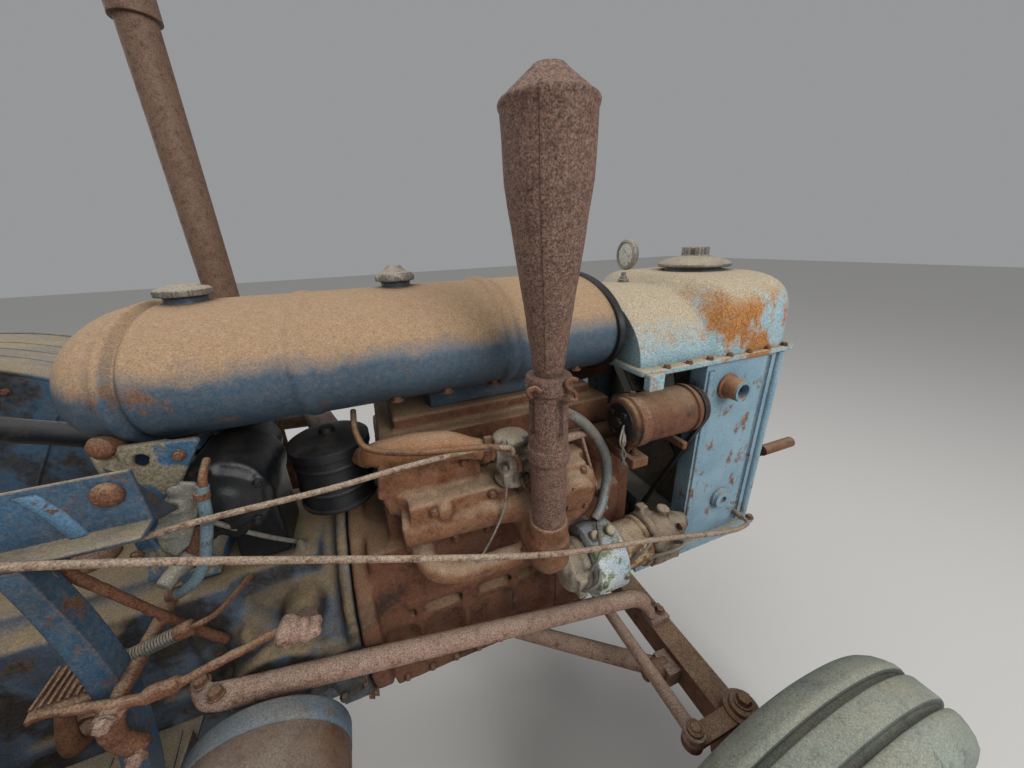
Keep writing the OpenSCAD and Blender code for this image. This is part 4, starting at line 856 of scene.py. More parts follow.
def make_magneto():
    """Magneto group: banded magneto, shaft cylinder, pump housing and its pipe to the radiator."""
    y, z, pump_y, pump_z = -270, 770, -268, 768
    band = bmesh.new()
    turned(band, at(1392, y, z), AHEAD, ((0, 66), (3, 71), (70, 71), (73, 66), (74, 40)), 56)
    piece("magneto_band", band, "patched_enamel", stands_for=("magneto",))
    body = bmesh.new()
    turned(body, at(1340, y, z), AHEAD, ((0, 30), (4, 44), (10, 49), (14, 49), (15, 46), (32, 46), (34, 52), (52, 52)),
           48)
    block(body, (1375, 1455), (-230, -180), (735, 800))
    for x in (1410, 1446):
        tube(body, places((x, -270, 820), (x, -292, 850)), (14, 11), 16, bend=0)
    turned(body, at(1340, -282, 790), BACK, ((-20, 20), (2, 18), (6, 12)), 20)
    block(body, (1352, 1372), (-330, -300), (742, 786))
    cast("magneto_body", body, (), "die_casting", 3.5, dents=1.0, dent_mm=20, stands_for=())
    drum = bmesh.new()
    turned(drum, at(1462, y, z), AHEAD, ((0, 40), (2, 50), (8, 53), (12, 53), (14, 50), (62, 50), (66, 54), (74, 54),
            (78, 48), (84, 40)), 56)
    piece("shaft_cylinder", drum, "flaked_cream")
    pump = bmesh.new()
    turned(pump, at(1538, pump_y, pump_z), AHEAD, ((0, 44), (6, 54), (14, 58), (22, 58), (26, 52), (60, 50), (70, 44),
            (84, 34), (96, 30)), 44)
    block(pump, (1545, 1622), (-312, -228), (722, 762))
    block(pump, (1556, 1580), (-250, -226), (760, 830))
    tube(pump, places((1600, -262, 800), (1602, -268, 834)), (20, 15), 20, bend=0)
    tube(pump, places((1618, -262, 765), (1646, -258, 762), (1690, -238, 742)), (36, 26, 24), 26)
    turned(pump, at(1648, -258, 762), (1, 0.2, -0.3), ((0, 31), (12, 31)), 26)
    cast("pump_housing", pump, (), "pump_iron", 4, dents=1.6, dent_mm=24, stands_for=())
    loose = bmesh.new()
    tube(loose, places((1520, -312, 762), (1556, -338, 786), (1590, -345, 800), (1602, -325, 786), (1600, -306, 768)),
         4.5, 10, 6)
    tube(loose, places((1478, -316, 780), (1500, -330, 806), (1530, -322, 824), (1552, -300, 800)), 3, 8, 6)
    tube(loose, places((1384, -322, 800), (1372, -336, 822), (1392, -332, 850), (1432, -262, 848)), 3.4, 8, 6)
    tube(loose, places((1398, -326, 806), (1384, -344, 790), (1364, -338, 772), (1356, -322, 762)), 3.4, 8, 6)
    piece("magneto_leads", loose, "worn_conduit")
    rows = [(at(1541, pump_y + 50 * cos(a), pump_z + 50 * sin(a)), BACK) for a in (0.4, 1.9, 3.2, 4.6, 5.7)]
    rows += [(at(1626, pump_y + 40 * cos(a), pump_z + 40 * sin(a)), AHEAD) for a in (0.8, 2.4, 4.0, 5.6)]
    bolt_on("pump_bolts", rows, 12, "rusty_steel")
    bolt_on("magneto_screws", [(at(x, -338, z), RIGHT) for x in (1402, 1454)], 12, "dull_plate")


def make_dynamo():
    """Dynamo: rusted shell with end bands, open brush end with dangling wires, cooling lip and belt wheel."""
    y, z = -220, 1045
    shell = bmesh.new()
    turned(shell, at(1504, y, z), AHEAD, ((0, 36), (1, 46), (4, 50), (12, 51), (14, 54), (20, 54), (21, 52), (150, 52),
            (152, 49), (158, 49), (160, 53), (168, 53), (170, 48), (174, 30)), 64)
    piece("dynamo_shell", shell, "engine_iron", stands_for=("dynamo",))
    open_end = bmesh.new()
    turned(open_end, at(1503, y, z), BACK, ((-6, 42), (1, 41), (2, 30), (3, 12), (9, 11), (10, 3)), 40)
    for a in (0.6, 2.2, 3.9, 5.3):
        block(open_end, (1496, 1506), (y + 28 * cos(a) - 6, y + 28 * cos(a) + 6),
              (z + 28 * sin(a) - 5, z + 28 * sin(a) + 5))
    piece("brush_end", open_end, "black_iron", bevel=1)
    wheel = bmesh.new()
    turned(wheel, at(1674, y, z), AHEAD, ((0, 14), (3, 16), (4, 40), (5, 46), (8, 46), (9, 40), (22, 40), (23, 46),
            (26, 46), (27, 40), (28, 20), (34, 12), (38, 11)), 56)
    piece("dynamo_belt_wheel", wheel, "rusty_steel")
    bracket = bmesh.new()
    block(bracket, (1510, 1549), (-262, -160), (955, 975))
    skin(bracket, [[at(x, y + r * cos(a), z + r * sin(a)) for a in (math.radians(k * 6) for k in range(60))]
                   for x, r in ((1518, 52), (1519, 55.5), (1541, 55.5), (1542, 52))], ends=False)
    block(bracket, (1520, 1540), (y - 12, y + 12), (972, 994))
    block(bracket, (1640, 1652), (-262, -168), (968, 984))
    piece("dynamo_bracket", bracket, "rusty_steel", bevel=1.5)
    wires = bmesh.new()
    draw = random.Random(7)
    for k in range(5):
        dx, dy = draw.uniform(-7, 7), draw.uniform(-6, 6)
        tube(wires, places((1498, y - 20, z - 12 + 4 * k), (1486 + dx, y - 34 + dy, z - 22),
                           (1488 - dx, y - 36 - dy, z - 52), (1496 + dx, y - 32 + dy, z - 78),
                           (1492 - dx, y - 28, z - 60 - 8 * k)), 2.1, 7, 5)
    piece("dangling_wires", wires, "dull_plate")
    bolt_on("dynamo_bolts", [(at(1673, y + 42 * cos(a), z + 42 * sin(a)), AHEAD) for a in (0.9, 2.5, 4.1, 5.6)]
            + [(at(1530, y, z + 57), UP), (at(1530, -242, 977), UP)], 12, "rusty_steel")


def make_engine():
    """Engine castings with their ribs, cover and studs, melted into sand-cast skins."""
    bm = bmesh.new()
    for x in range(1110, 1560, 110):
        block(bm, (x, x + 14), (-172, -156), (870, 990))
    turned(bm, at(1180, -158, 905), RIGHT, ((0, 26), (6, 26), (8, 22)), 24)
    block(bm, (1040, 1470), (-186, -176), (700, 716))
    block(bm, (1060, 1460), (-186, -176), (520, 536))
    for x in (1052, 1150, 1262, 1374, 1456):
        block(bm, (x, x + 18), (-186, -176), (520, 716))
    cast("engine_castings", bm, ("engine_block",), "engine_iron", 6.5, dents=1.4, dent_mm=36)
    cast("head_casting", None, ("cylinder_head",), "engine_iron", 5, rounds=2, dents=1.0, dent_mm=36)
    low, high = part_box("cylinder_head")
    xs = [low[0] + (high[0] - low[0]) * (k + 0.5) / 7 for k in range(7)]
    rows = [((x, side * 0.138, high[2] + 0.001), UP) for x in xs for side in (-1, 1)]
    bolt_on("head_studs", rows, 17, "rusty_steel")
    rows = [(at(x, side * 146, 452), (0, side, 0)) for side in (-1, 1) for x in range(1010, 1461, 58)]
    rows += [(at(x, side * 181, 846), (0, side, 0)) for side in (-1, 1) for x in range(1016, 1560, 68)]
    bolt_on("sump_bolts", rows, 14, "rusty_steel")


def make_gearbox():
    """Gear casing, clutch bell and axle housing with their flange bolts."""
    bm = bmesh.new()
    for side in (-1, 1):
        for x in (330, 520, 690):
            block(bm, (x, x + 16), (side * 158 - 8, side * 158 + 8), (430, 800))
    block(bm, (280, 760), (-162, -144), (640, 658))
    # crown of the clutch housing, the shaft bulb and the foot of the bell on each side
    rings = [(x, math.sqrt(max(1 - ((x - 820) / 150) ** 2, 0))) for x in range(674, 968, 12)]
    skin(bm, [[at(x, 178 * r * cos(a), 715 + 146 * r * sin(a)) for a in around(48)] for x, r in rings])
    for side in (-1, 1):
        block(bm, (886, 950), (side * 215 - 9, side * 215 + 9), (560, 704))
    tube(bm, places((862, -120, 770), (866, -196, 786), (868, -214, 790)), (46, 32, 14), 24)
    tube(bm, places((745, -120, 742), (770, -160, 746), (790, -172, 770)), (36, 30, 26), 24)
    turned(bm, at(869, -95, 846), (0, -0.2, 1), ((0, 20), (14, 18), (18, 10), (34, 9), (38, 6)), 20)
    cast("gear_casing", bm, ("gearbox",), "casing", 8, dents=2.0, dent_mm=60)
    cast("axle_casting", None, ("axle_housing",), "casing", 8, rounds=2, dents=1.5, dent_mm=60)
    rows = [(at(944, 221 * cos(a), 620 + 221 * sin(a)), BACK) for a in around(16)]
    bolt_on("bell_bolts", rows, 17, "rusty_steel")
    # painted highlight: a patch of the lighter blue enamel on the bell's foot
    patch = bmesh.new()
    plate(patch, places((918, -225, 700), (952, -225, 694), (951, -225, 672), (917, -225, 676)), LEFT, 6)
    piece("foot_patch", patch, "highlight_enamel", bevel=1)
    bolt_on("foot_bolts",
            [(at(x, side * 225, z), (0, side, 0)) for side in (-1, 1) for x, z in ((899, 698), (940, 600), (899, 590))],
            14, "casing")


def make_steering():
    """Steering gear case with its cover screws, and the column."""
    x0, z0 = 813, 1047
    bm = bmesh.new()
    turned(bm, at(x0, -172, z0), RIGHT, ((0, 56), (4, 50), (12, 44), (16, 30), (22, 20), (25, 8)), 32)
    screws = (0.4, 1.7, 3.0, 4.2, 5.4)
    for a in screws:
        tube(bm, [at(x0 + 58 * cos(a), -120, z0 + 58 * sin(a)), at(x0 + 56 * cos(a), -184, z0 + 56 * sin(a))], 9, 12,
             bend=0)
    block(bm, (800, 826), (-176, -60), (975, 1000))
    cast("steering_case", bm, ("steering_box",), "black_iron", 4.5, dent_mm=30)
    bolt_on("steering_case_bolts", [(at(x0 + 56 * cos(a), -186, z0 + 56 * sin(a)), RIGHT) for a in screws], 12,
            "black_iron")


def make_rods():
    """Long control rods with their hooked ends, the governor wire, and the brake pull with its coil spring."""
    bm = bmesh.new()
    tube(bm, places((600, -276, 1120), (601, -291, 1120), (612, -297, 1117), (800, -316, 1066), (1240, -352, 925),
                    (1500, -354, 858), (1700, -353, 800), (1850, -300, 722), (1880, -272, 706), (1881, -243, 705)), 5,
                    12, 8)
    tube(bm, places((600, -283, 1120), (600, -270, 1120)), 8, 14, bend=0)
    tube(bm, places((1881, -262, 706), (1881, -240, 706)), 8, 14, bend=0)
    tube(bm, places((650, -276, 1096), (690, -278, 1086), (726, -276, 1081), (765, -272, 1079), (830, -268, 1080),
                    (970, -264, 1079), (1068, -262, 1084), (1179, -268, 1090), (1240, -273, 1082), (1248, -271, 1066)),
                    4.4, 12, 6)
    piece("long_rods", bm, "pale_rod", stands_for=("control_rods",))
    wires = bmesh.new()
    tube(wires, places((1100, -183, 760), (1118, -215, 790), (1150, -248, 822), (1185, -262, 866), (1226, -262, 940),
                       (1238, -262, 1000)), 2, 8, 8)
    tube(wires, places((797, -202, 1034), (830, -146, 946), (866, -86, 862)), 4, 10, 4)
    piece("throttle_links", wires, "grey_plate")
    # brake pull: a rough rod from its lever to the knuckle, with the return spring beside it
    pull = bmesh.new()
    tube(pull, places((640, -330, 918), (657, -330, 913), (729, -330, 887), (760, -324, 886), (860, -300, 888),
                      (880, -300, 884)), (4, 6, 8, 7, 7, 7), 14, 5)
    tube(pull, places((726, -328, 889), (758, -324, 886)), 11, 14, bend=0)
    tube(pull, places((668, -262, 1062), (690, -232, 965), (715, -200, 860), (738, -166, 765)), (8, 7, 7, 9), 14, 5)
    tube(pull, places((668, -276, 1058), (668, -248, 1062)), 11, 16, bend=0)
    tube(pull, places((696, -345, 890), (696, -160, 884)), 10, 16, bend=0)
    tube(pull, places((696, -338, 890), (690, -338, 850), (700, -332, 812)), (16, 12, 14), 18)
    cast("brake_pull", pull, (), "rusty_steel", 2.4, rounds=1, dents=1.4, dent_mm=11, stands_for=())
    knuckle = bmesh.new()
    turned(knuckle, at(905, -300, 876), (-1, 0, 0.15),
           ((-4, 8), (0, 17), (8, 20), (16, 15), (22, 17), (30, 21), (38, 18), (44, 10)), 20)
    turned(knuckle, at(878, -284, 880), RIGHT, ((-6, 14), (0, 17), (28, 17), (32, 12)), 20)
    turned(knuckle, at(912, -288, 874), RIGHT, ((-4, 9), (0, 10), (22, 10), (26, 7)), 16)
    tube(knuckle, places((892, -292, 868), (886, -250, 830), (872, -200, 792)), (13, 13, 20), 16)
    cast("rod_knuckle", knuckle, (), "brace_steel", 2.4, rounds=1, dents=2.2, dent_mm=12, stands_for=())
    bolt_on("pull_nuts", [(at(696, -346, 890), RIGHT), (at(700, -344, 812), RIGHT), (at(668, -277, 1058), RIGHT)], 17,
            "brace_steel")
    start, end = Vector((659, -262, 887)), Vector((748, -262, 907))
    way = (end - start).normalized()
    side = way.orthogonal().normalized()
    across = way.cross(side)
    spring = bmesh.new()
    turns, steps = 25, 16
    coil = [at(*(start - way * 14)), at(*(start - way * 8 + side * 4))]
    for k in range(turns * steps + 1):
        a = k * tau / steps
        coil.append(at(*(start + way * (92 * k / (turns * steps)) + (side * cos(a) + across * sin(a)) * 8.5)))
    tube(spring, coil + [at(*(end + way * 8 + side * 4)), at(*(end + way * 16))], 1.6, 7, bend=0)
    piece("coil_spring", spring, "dull_plate")
    ends = bmesh.new()
    turned(ends, at(*(end - way * 6)), way, ((0, 10), (2, 11), (18, 11), (20, 8)), 20)
    tube(ends, [at(*(end + way * 12)), at(*(end + way * 26)), at(784, -236, 900), at(800, -160, 880)], (4, 4, 4, 6), 10,
         4)
    tube(ends, [at(*(start - way * 10)), at(*(start - way * 22)), at(630, -262, 878)], (4, 4, 5), 10, 3)
    piece("spring_hooks", ends, "rusty_steel")


def make_braces():
    """The big brace tube with its flattened ends, its pad on the axle and their bolts."""
    bm = bmesh.new()
    tube(bm, places((700, -205, 743), (722, -240, 745), (748, -252, 746), (790, -252, 735), (900, -252, 711),
                    (1200, -253, 642), (1500, -254, 574), (1560, -255, 558), (1592, -256, 530), (1612, -258, 492),
                    (1628, -258, 474)), (15, 18, 20, 20, 20, 20, 20, 20, 20, 17, 16), 22, 6,
                    flat=(0.4, 0.35, 0.4, 0.8, 1, 1, 1, 1, 0.9, 0.5, 0.4))
    block(bm, (1610, 1666), (-278, -236), (455, 469))
    piece("brace_tube", bm, "brace_steel", smooth=50, stands_for=("stay_tube",))
    bolt_on("brace_bolts", [(at(1652, -257, 471), UP), (at(744, -254, 756), UP), (at(716, -224, 754), UP)], 19,
            "rusty_steel")


def make_rails():
    """Channel rails at the driver's feet, their angle stays, the rib with its painted highlight and the bolts."""
    bm = bmesh.new()
    low, top = 1093, 1170
    for side, end in ((-1, 778), (1, 715)):
        y = [side * v for v in (266, 272, 302)]
        section = [(y[0], low), (y[2], low), (y[2], low + 5), (y[1], low + 7), (y[1], top), (y[0], top)]
        skin(bm, [[at(x, a, b) for a, b in section] for x in (560, 600, 640, 680, 720, 760, end)])
        block(bm, (690, 713), (side * 268 - 1, side * 200.3) if side < 0 else (200.3, 269), (1110, 1130))
        # the web's end is folded in towards the dash
        plate(bm, places((end - 14, side * 268, top), (end - 6, side * 268, low), (end - 10, side * 205, low - 26),
                         (end - 62, side * 205, top - 20)), AHEAD, 4)
    piece("channel_rails", bm, "blue_enamel", bevel=1.5, stands_for=("side_rails",))
    # painted highlight: the ribs take a lighter copy of the blue enamel
    highlight_ribs = bmesh.new()
    for side in (-1, 1):
        skin(highlight_ribs, [[at(x + dx, side * (272 + lift), z) for dx, lift in ((0, -1), (4, 3), (10, 4), (17, 3), (22, -1))]
                    for x, z in ((676, top - 7), (690, 1136), (700, low + 7))])
    piece("rail_ribs", highlight_ribs, "highlight_enamel", smooth=50)
    stays = bmesh.new()
    for side in (-1, 1):
        # rows: height, rear edge and width of the outer face
        rows = ((1092, 650, 24), (1040, 656, 25), (980, 660, 28), (900, 662, 30), (820, 656, 30), (740, 644, 30),
                (670, 630, 30), (606, 614, 30))
        path = [(p.x, p.y, p.z) for p in rounded(rows, 4)]
        skin(stays, [[at(x, side * 302, z), at(x + w, side * 302, z), at(x + w, side * 270, z),
                      at(x + w - 5, side * 270, z), at(x + w - 5, side * 297, z), at(x, side * 297, z)]
                      for z, x, w in path])
        tube(stays, places((570, side * 285, 1093), (535, side * 393, 925)), 8, 12, bend=0)
    piece("angle_stays", stays, "blue_enamel", bevel=1)
    rivets = bmesh.new()
    for side in (-1, 1):
        turned(rivets, at(752, side * 272, 1146), (0, side, 0),
               ((-4, 12), (0, 15), (3, 15.5), (8, 13), (12, 8), (13.5, 2)), 24)
    piece("rail_rivets", rivets, "rusty_steel")
    rows = [(at(630, side * 303, 640), (0, side, 0)) for side in (-1, 1)] + [(at(590, -274, 1130), RIGHT)]
    bolt_on("rail_bolts", rows, 19, "rusty_steel")


def make_dash():
    """Dash of blue iron: side faces pierced with square holes, the panel between them, a foot and the grey plate
    bolted to its right side."""
    bm = bmesh.new()
    for side in (-1, 1):
        y, way = side * 180, (0, -side, 0)
        upper = [(700, 1166), (727, 1164), (727, 1116), (700, 1122)]
        middle = [(726, 1164), (760, 1162), (756, 1104), (726, 1116)]
        lower = [(758, 1162), (814, 1155), (778, 1098), (748, 1030), (732, 940), (688, 940), (694, 980), (690, 1029),
                 (700, 1124), (727, 1118), (757, 1106)]
        pierced(bm, [at(x, y, z) for x, z in upper], at(713, y, 1145), 10, 4, way, 12)
        pierced(bm, [at(x, y, z) for x, z in middle], at(741, y, 1137), 11, 4, way, 12)
        plate(bm, [at(x, y, z) for x, z in lower], way, 12)
        # stiffening lip down the rear edge
        tube(bm, places((702, side * 182, 1164), (706, side * 184, 1100), (716, side * 186, 1040),
                        (726, side * 186, 960)), 6, 10, 3)
    under = [(y, 1217 - 105 * math.sqrt(1 - (y / 190) ** 2)) for y in range(-172, 173, 8)]
    left, right = [p for p in under if p[0] < -36], [p for p in under if p[0] > 36]
    panel = [(-176, 944), (-176, 1152)] + left + [(-36, 1034), (36, 1034)] + right + [(176, 1152), (176, 944)]
    plate(bm, [at(700, y, z) for y, z in panel], AHEAD, 12)
    block(bm, (682, 742), (-112, 112), (861, 884))
    for y in (-96, 84):
        block(bm, (690, 726), (y, y + 12), (866, 950))
    cast("dash_body", bm, (), "dash_enamel", 4, rounds=2, dents=1.0, dent_mm=34, stands_for=("dash_casting",))
    grey = bmesh.new()
    outline = [(782, 1105), (798, 1098), (801, 1086), (786, 1043), (764, 1000), (744, 985), (734, 1000), (731, 1020),
               (743, 1057), (758, 1084)]
    plate(grey, [at(x, -203, z) for x, z in outline], LEFT, 9)
    for x, z in ((766, 1069), (745, 1032)):
        turned(grey, at(x, -203, z), RIGHT, ((-4, 15), (0, 14), (3, 12), (3.5, 7), (0.5, 6)), 24)
    turned(grey, at(772, -203, 1094), RIGHT, ((-4, 9), (2, 8), (3, 3)), 16)
    tube(grey, places((752, -180, 968), (738, -202, 962), (726, -222, 956)), (15, 14, 11), 18)
    cast("dash_side_plate", grey, (), "grey_plate", 2.4, rounds=1, dents=1.6, dent_mm=16, stands_for=())
    post = bmesh.new()
    turned(post, at(757, -178, 950), (0.1, 0, 1), ((0, 13), (3, 14), (66, 14), (70, 11)), 20)
    turned(post, at(711, -176, 1166), (-0.3, -1, 0.1), ((-20, 12), (0, 15), (6, 16), (12, 12), (15, 4)), 20)
    piece("cable_clamp", post, "rusty_steel")
    bolt_on("dash_bolts", [(at(x, -193, z), RIGHT) for x, z in ((790, 1142), (700, 1000))], 12, "rusty_steel")


def make_radiator_sides():
    """What is fitted on the radiator's side columns: the open stub, the drain ring, foot bolts and core fins."""
    bm = bmesh.new()
    for side in (-1, 1):
        y = side * 240
        turned(bm, at(1812, y, 775), (0, side, 0), ((0, 27), (6, 27), (8, 23), (8.5, 20)), 30)
        skin(bm, [[at(x, side * v, z) for x, v in ((1706, 240), (1708, 243.5), (1722, 243.5), (1724, 240))]
                  for z in (690, 900, 1128)])
        tube(bm, places((1918, y, 676), (1918, y, 900), (1918, y, 1138)), 9.4, 16, bend=0)
    piece("column_trim", bm, "pale_enamel", smooth=40)
    stub = bmesh.new()
    rings = [[at(1768 + r * cos(a), -y, 1085 + r * sin(a)) for a in around(36)]
             for y, r in ((240, 29), (245, 29), (247, 24), (274, 23.4), (276.4, 22), (276.4, 18), (262, 17.4),
                          (246, 17))]
    skin(stub, rings)
    piece("open_stub", stub, "inlet_iron", smooth=40)
    rows = [(at(x, side * 250, 672), UP) for side in (-1, 1) for x in (1698, 1938)]
    bolt_on("column_foot_bolts", rows, 15, "rusty_steel")
    fins = bmesh.new()
    for z in range(684, 1136, 9):
        block(fins, (1868, 1888), (-196, 196), (z, z + 1.2))
    piece("core_fins", fins, "core_brass", smooth=0)


def make_controls():
    """Pedals with ribbed pads, gear lever with its ball, and the hand lever with its grip."""
    bm = bmesh.new()
    for side in (-1, 1):
        tube(bm, places((540, side * 151, 700), (540, side * 205, 700), (546, side * 222, 726), (562, side * 228, 780),
                        (590, side * 235, 846)), (13, 13, 13, 11, 10), 16, flat=(1, 1, 0.8, 0.6, 0.6))
        turned(bm, at(540, side * 151, 700), (0, side, 0), ((0, 24), (20, 24), (24, 20), (30, 18)), 24)
        skin(bm, [[at(x, side * 235 + y, z + 6 * (1 - (y / 34) ** 2)) for y in range(-34, 35, 4)]
                  + [at(x, side * 235 + y, z - 7) for y in range(34, -35, -4)]
                  for x, z in ((566, 846), (574, 848), (605, 851), (638, 850), (646, 846))])
        for x in range(574, 642, 9):
            tube(bm, places((x, side * 235 - 29, 858), (x, side * 235 + 29, 858)), 2.6, 6, bend=0)
    tube(bm, places((520, 0, 884), (516, 6, 910), (506, 26, 950), (500, 40, 982)), (16, 9, 8, 7), 16)
    turned(bm, at(520, 0, 882), UP, ((0, 40), (6, 38), (16, 26), (22, 15)), 28)
    tube(bm, places((380, -125, 862), (380, -125, 900), (374, -140, 940), (345, -225, 1085)), (12, 9, 8, 8), 14,
         flat=(1, 0.7, 0.6, 0.9))
    tube(bm, places((353, -203, 1046), (346, -223, 1082), (344, -228, 1090)), (12, 13, 10), 16)
    tube(bm, places((366, -162, 976), (352, -190, 1030)), 3.5, 8, bend=0)
    piece("pedals_and_levers", bm, "rusty_steel", smooth=45, stands_for=("pedals_levers",))
    knob = bmesh.new()
    turned(knob, at(500, 40, 974), (0, 0.2, 1),
           [(20 - 20 * cos(a), 20.5 * sin(a)) for a in (pi * k / 14 for k in range(15))], 28)
    piece("gear_knob", knob, "grip")


def make_seat():
    """Pressed pan seat on its leaf spring, with drain holes and a rolled rim."""
    bm = bmesh.new()
    turns, steps = 48, 10
    x0, z0 = -360, 985

    def spot(k, j):
        a, share = k * tau / turns, j / steps
        back, ahead = max(-cos(a), 0), max(cos(a), 0)
        reach = (205 + 10 * abs(sin(a)) - 26 * ahead) * share
        rise = 4 + 74 * share**3.2 * (1 - 0.55 * ahead) + 12 * back * share**4
        # the hollow between the driver's legs
        rise -= 10 * math.exp(-(sin(a) * share / 0.25) ** 2) * ahead * share
        return at(x0 + reach * cos(a), reach * sin(a), z0 + rise)

    rings = [[bm.verts.new(spot(k, j)) for k in range(turns)] for j in range(1, steps + 1)]
    middle = bm.verts.new(spot(0, 0))
    for k in range(turns):
        nxt = (k + 1) % turns
        bm.faces.new((middle, rings[0][k], rings[0][nxt]))
        for j in range(steps - 1):
            if not (j in (2, 4, 6) and k % 6 in (0, 1)):
                bm.faces.new((rings[j][k], rings[j + 1][k], rings[j + 1][nxt], rings[j][nxt]))
    bmesh.ops.recalc_face_normals(bm, faces=bm.faces)
    bmesh.ops.solidify(bm, geom=list(bm.faces), thickness=0.003)
    rim = [spot(k, steps) for k in range(turns)]
    tube(bm, rim + rim[:1], 4.5, 10, bend=0)
    piece("seat_pan", bm, "rusty_steel", smooth=50, stands_for=("seat",))
    leaf = bmesh.new()
    for start, thick in ((0, 9), (60, 8)):
        path = rounded([(20 - start * 0.2, 802 - start * 0.15), (-60, 806 - start * 0.1), (-190 + start, 826),
                        (-300 + start, 878), (-350 + start, 940)], 5)
        path += [] if start else [Vector((-366, 984))]
        skin(leaf, [[at(p.x, y, p.y + z - (9 if start else 0))
                     for y, z in ((-28, 0), (28, 0), (28, -thick), (-28, -thick))] for p in path])
    block(leaf, (-30, 90), (-38, 38), (780, 793))
    turned(leaf, at(x0, 0, 968), UP, ((0, 40), (10, 52), (18, 54), (22, 50)), 32)
    piece("seat_spring", leaf, "rusty_steel", bevel=1.2)
    bolt_on("seat_bolts", [(at(x, y, 807), UP) for x in (-20, 16) for y in (-18, 18)] + [(at(x0, 0, z0 + 8), UP)], 16,
            "rusty_steel")


def make_mudguards():
    """Beaded edges, pressed ribs and the bolts of the mudguards, and the lip of the platform."""
    x0, _, z0 = REAR_WHEEL
    bm = bmesh.new()
    for side in (-1, 1):
        arc = [math.radians(a) for a in range(6, 175, 4)]
        for y, r in ((728, 649), (404, 648)):
            tube(bm, [at(x0 + r * cos(a), side * y, z0 + r * sin(a)) for a in arc], 6, 10, bend=0)
        for y in (500, 560, 620):
            tube(bm, [at(x0 + 649 * cos(a), side * y, z0 + 649 * sin(a)) for a in arc[6:-6]], 3.4, 8, bend=0)
        for a in (0.5, 1.05, 1.57, 2.1, 2.65):
            tube(bm, [at(x0 + r * cos(a), side * 401, z0 + r * sin(a)) for r in (230, 560)], 4, 8, bend=0)
        tube(bm, places((182, side * 398, 604), (656, side * 398, 604)), 4, 8, bend=0)
        for x in range(200, 640, 48):
            tube(bm, places((x, side * 180, 605.5), (x + 22, side * 385, 605.5)), 2, 6, bend=0)
    piece("guard_beads", bm, "blue_enamel", smooth=60)
    rows = [(at(x0 + 600 * cos(a), side * 399, z0 + 600 * sin(a)), (0, -side, 0)) for side in (-1, 1)
            for a in (k * 0.3 + 0.3 for k in range(9))]
    rows += [(at(x, side * 396, 606), UP) for side in (-1, 1) for x in range(210, 650, 70)]
    bolt_on("guard_bolts", rows, 13, "rusty_steel")


def make_front_axle():
    """Nuts, pins and grease points of the axle, its wishbone and knuckles."""
    x0, y0 = KINGPIN
    eye_x, eye_y, eye_z = 1566, 345, 418
    bm = bmesh.new()
    for side in (-1, 1):
        turned(bm, at(eye_x, side * eye_y, eye_z), BACK,
               ((-30, 24), (0, 26), (8, 26), (12, 20), (13, 14), (30, 14), (34, 10)), 24)
        turned(bm, at(x0, side * y0, 460), UP, ((0, 36), (4, 33), (12, 30)), 30)
    piece("axle_eyes", bm, "rusty_steel")
    for side, name in ((-1, "right"), (1, "left")):
        cap = bmesh.new()
        turned(cap, at(x0, side * y0, 490), UP, ((0, 32), (3, 31), (5, 26), (14, 24), (18, 17), (20, 10)), 24)
        turned(cap, at(x0 - 130, side * y0, 517), UP, ((0, 15), (6, 15), (9, 10), (12, 9)), 16)
        piece("kingpin_cap_" + name, cap, "rusty_steel", "knuckle_" + name)
        bolt_on("knuckle_nuts_" + name, [(at(x0, side * y0, 512), UP)], 26, "rusty_steel", "knuckle_" + name)
    rows = [(at(eye_x - 16, side * eye_y, eye_z), BACK) for side in (-1, 1)]
    bolt_on("wishbone_nuts", rows, 27, "rusty_steel")


def make_pulley():
    """Crowned drum of the belt pulley with its spokes' disc, hub nut and the painted band at its inner edge."""
    x0, y0, z0 = PULLEY
    drum = bmesh.new()
    turned(drum, at(x0, y0, z0), RIGHT, ((-0.4, 107), (0, 114), (2, 115.4), (82, 117), (160, 115.4), (164, 114),
            (165, 107), (163, 106), (90, 105), (88, 104), (86, 40), (146, 37), (148, 30), (150, 22), (152, 8)), 96)
    piece("pulley_drum", drum, "pulley_iron", "belt_pulley", smooth=45, stands_for=("belt_pulley",))
    band = bmesh.new()
    rings = [[at(x0 + r * cos(a), y, z0 + r * sin(a)) for a in around(96)]
             for y, r in ((-300.4, 114), (-301, 115.2), (-303, 116), (-336, 116.8), (-337, 116.2), (-320, 114),
                          (-301, 113))]
    skin(band, rings, ends=False)
    piece("pulley_band", band, "band_enamel", "belt_pulley", smooth=45)
    bolt_on("pulley_nut", [(at(x0, y0 - 150, z0), RIGHT)], 34, "rusty_steel", "belt_pulley")


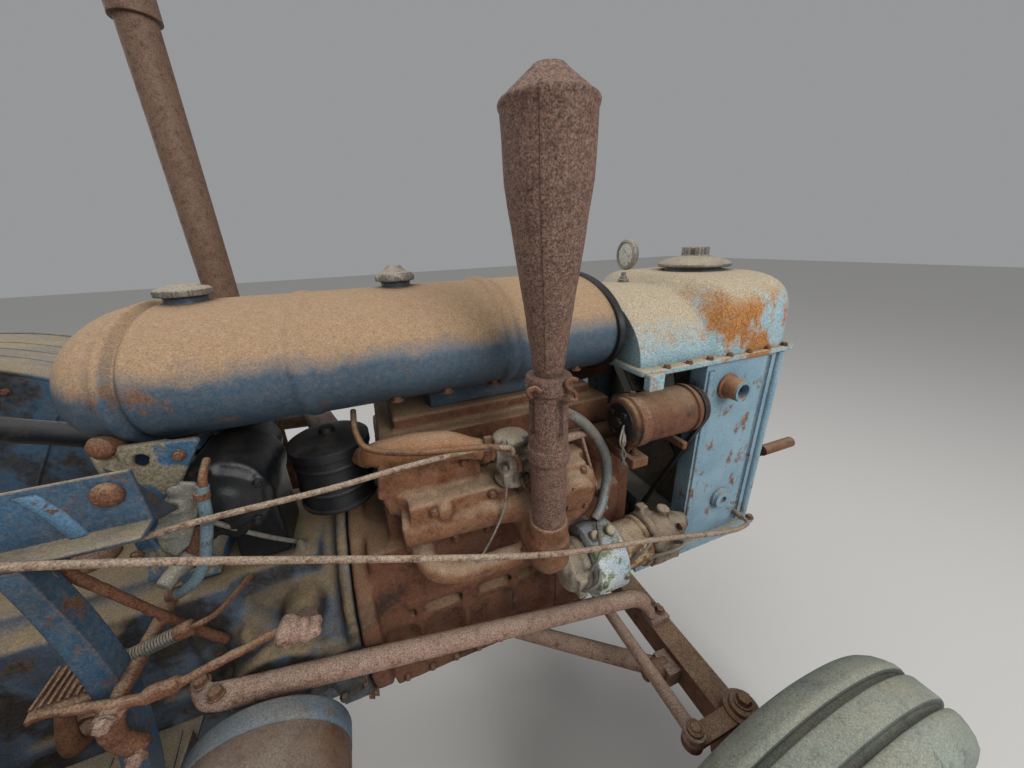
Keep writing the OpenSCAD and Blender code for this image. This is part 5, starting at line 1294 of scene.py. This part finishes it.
def make_tyres():
    """Front tyres with three ribs and bulged walls, their hub caps, and the nuts of all four wheels."""
    x0, y0, z0 = FRONT_WHEEL
    rear_x, rear_y, rear_z = REAR_WHEEL
    for side, name in ((-1, "right"), (1, "left")):
        half = [(211, 29.5), (222, 38), (240, 55), (268, 72), (295, 81), (318, 81), (334, 76), (345, 66), (352, 55),
                (355.5, 47), (357, 44), (357.5, 36), (356, 33), (347.5, 31), (347, 29), (347, 24), (348, 22),
                (358.5, 20), (360, 17), (360, 0)]
        rows = half + [(r, -w) for r, w in reversed(half[:-1])]
        rows += [(205.7, -29.5), (205.7, 29.5)]
        bm = bmesh.new()
        loops = [[bm.verts.new(at(x0 + r * sin(a), side * y0 + w, z0 + r * cos(a))) for r, w in rows]
                 for a in around(120)]
        for one, other in zip(loops, loops[1:] + loops[:1]):
            for j in range(len(rows)):
                bm.faces.new((one[j], one[(j + 1) % len(rows)], other[(j + 1) % len(rows)], other[j]))
        piece("front_tyre_ribbed_" + name, bm, "old_rubber", "front_wheel_" + name, smooth=50,
              stands_for=("front_tyre_" + name,))
        nuts = [(at(x0 + 66 * cos(a), side * (y0 + 14), z0 + 66 * sin(a)), (0, side, 0)) for a in around(6)]
        bolt_on("front_wheel_nuts_" + name, nuts, 19, "rusty_steel", "front_wheel_" + name)
        cap = bmesh.new()
        turned(cap, at(x0, side * (y0 + 72), z0), (0, side, 0), ((0, 34), (3, 36), (12, 34), (17, 27), (19, 12)), 32)
        piece("hub_cap_" + name, cap, "wheel_enamel", "front_wheel_" + name)
        nuts = [(at(rear_x + 105 * cos(a), side * (rear_y + 8), rear_z + 105 * sin(a)), (0, side, 0))
                for a in around(8)]
        bolt_on("rear_wheel_nuts_" + name, nuts, 24, "rusty_steel", "rear_wheel_" + name)


place_camera()
light_the_room()
FINISH = make_finishes()
BOLT_HEADS = bolt_tree()
dress_nodes()
lids = make_fuel_tank()
make_radiator_tank(lids)
for make in (make_silencer, make_manifold, make_inlet, make_pipes, make_magneto, make_dynamo, make_engine, make_gearbox,
             make_steering, make_rods, make_braces, make_rails, make_dash, make_radiator_sides, make_controls,
             make_seat, make_mudguards, make_front_axle, make_pulley, make_tyres):
    make()
lay_floor()
bpy.context.scene.view_settings.view_transform = "Standard"
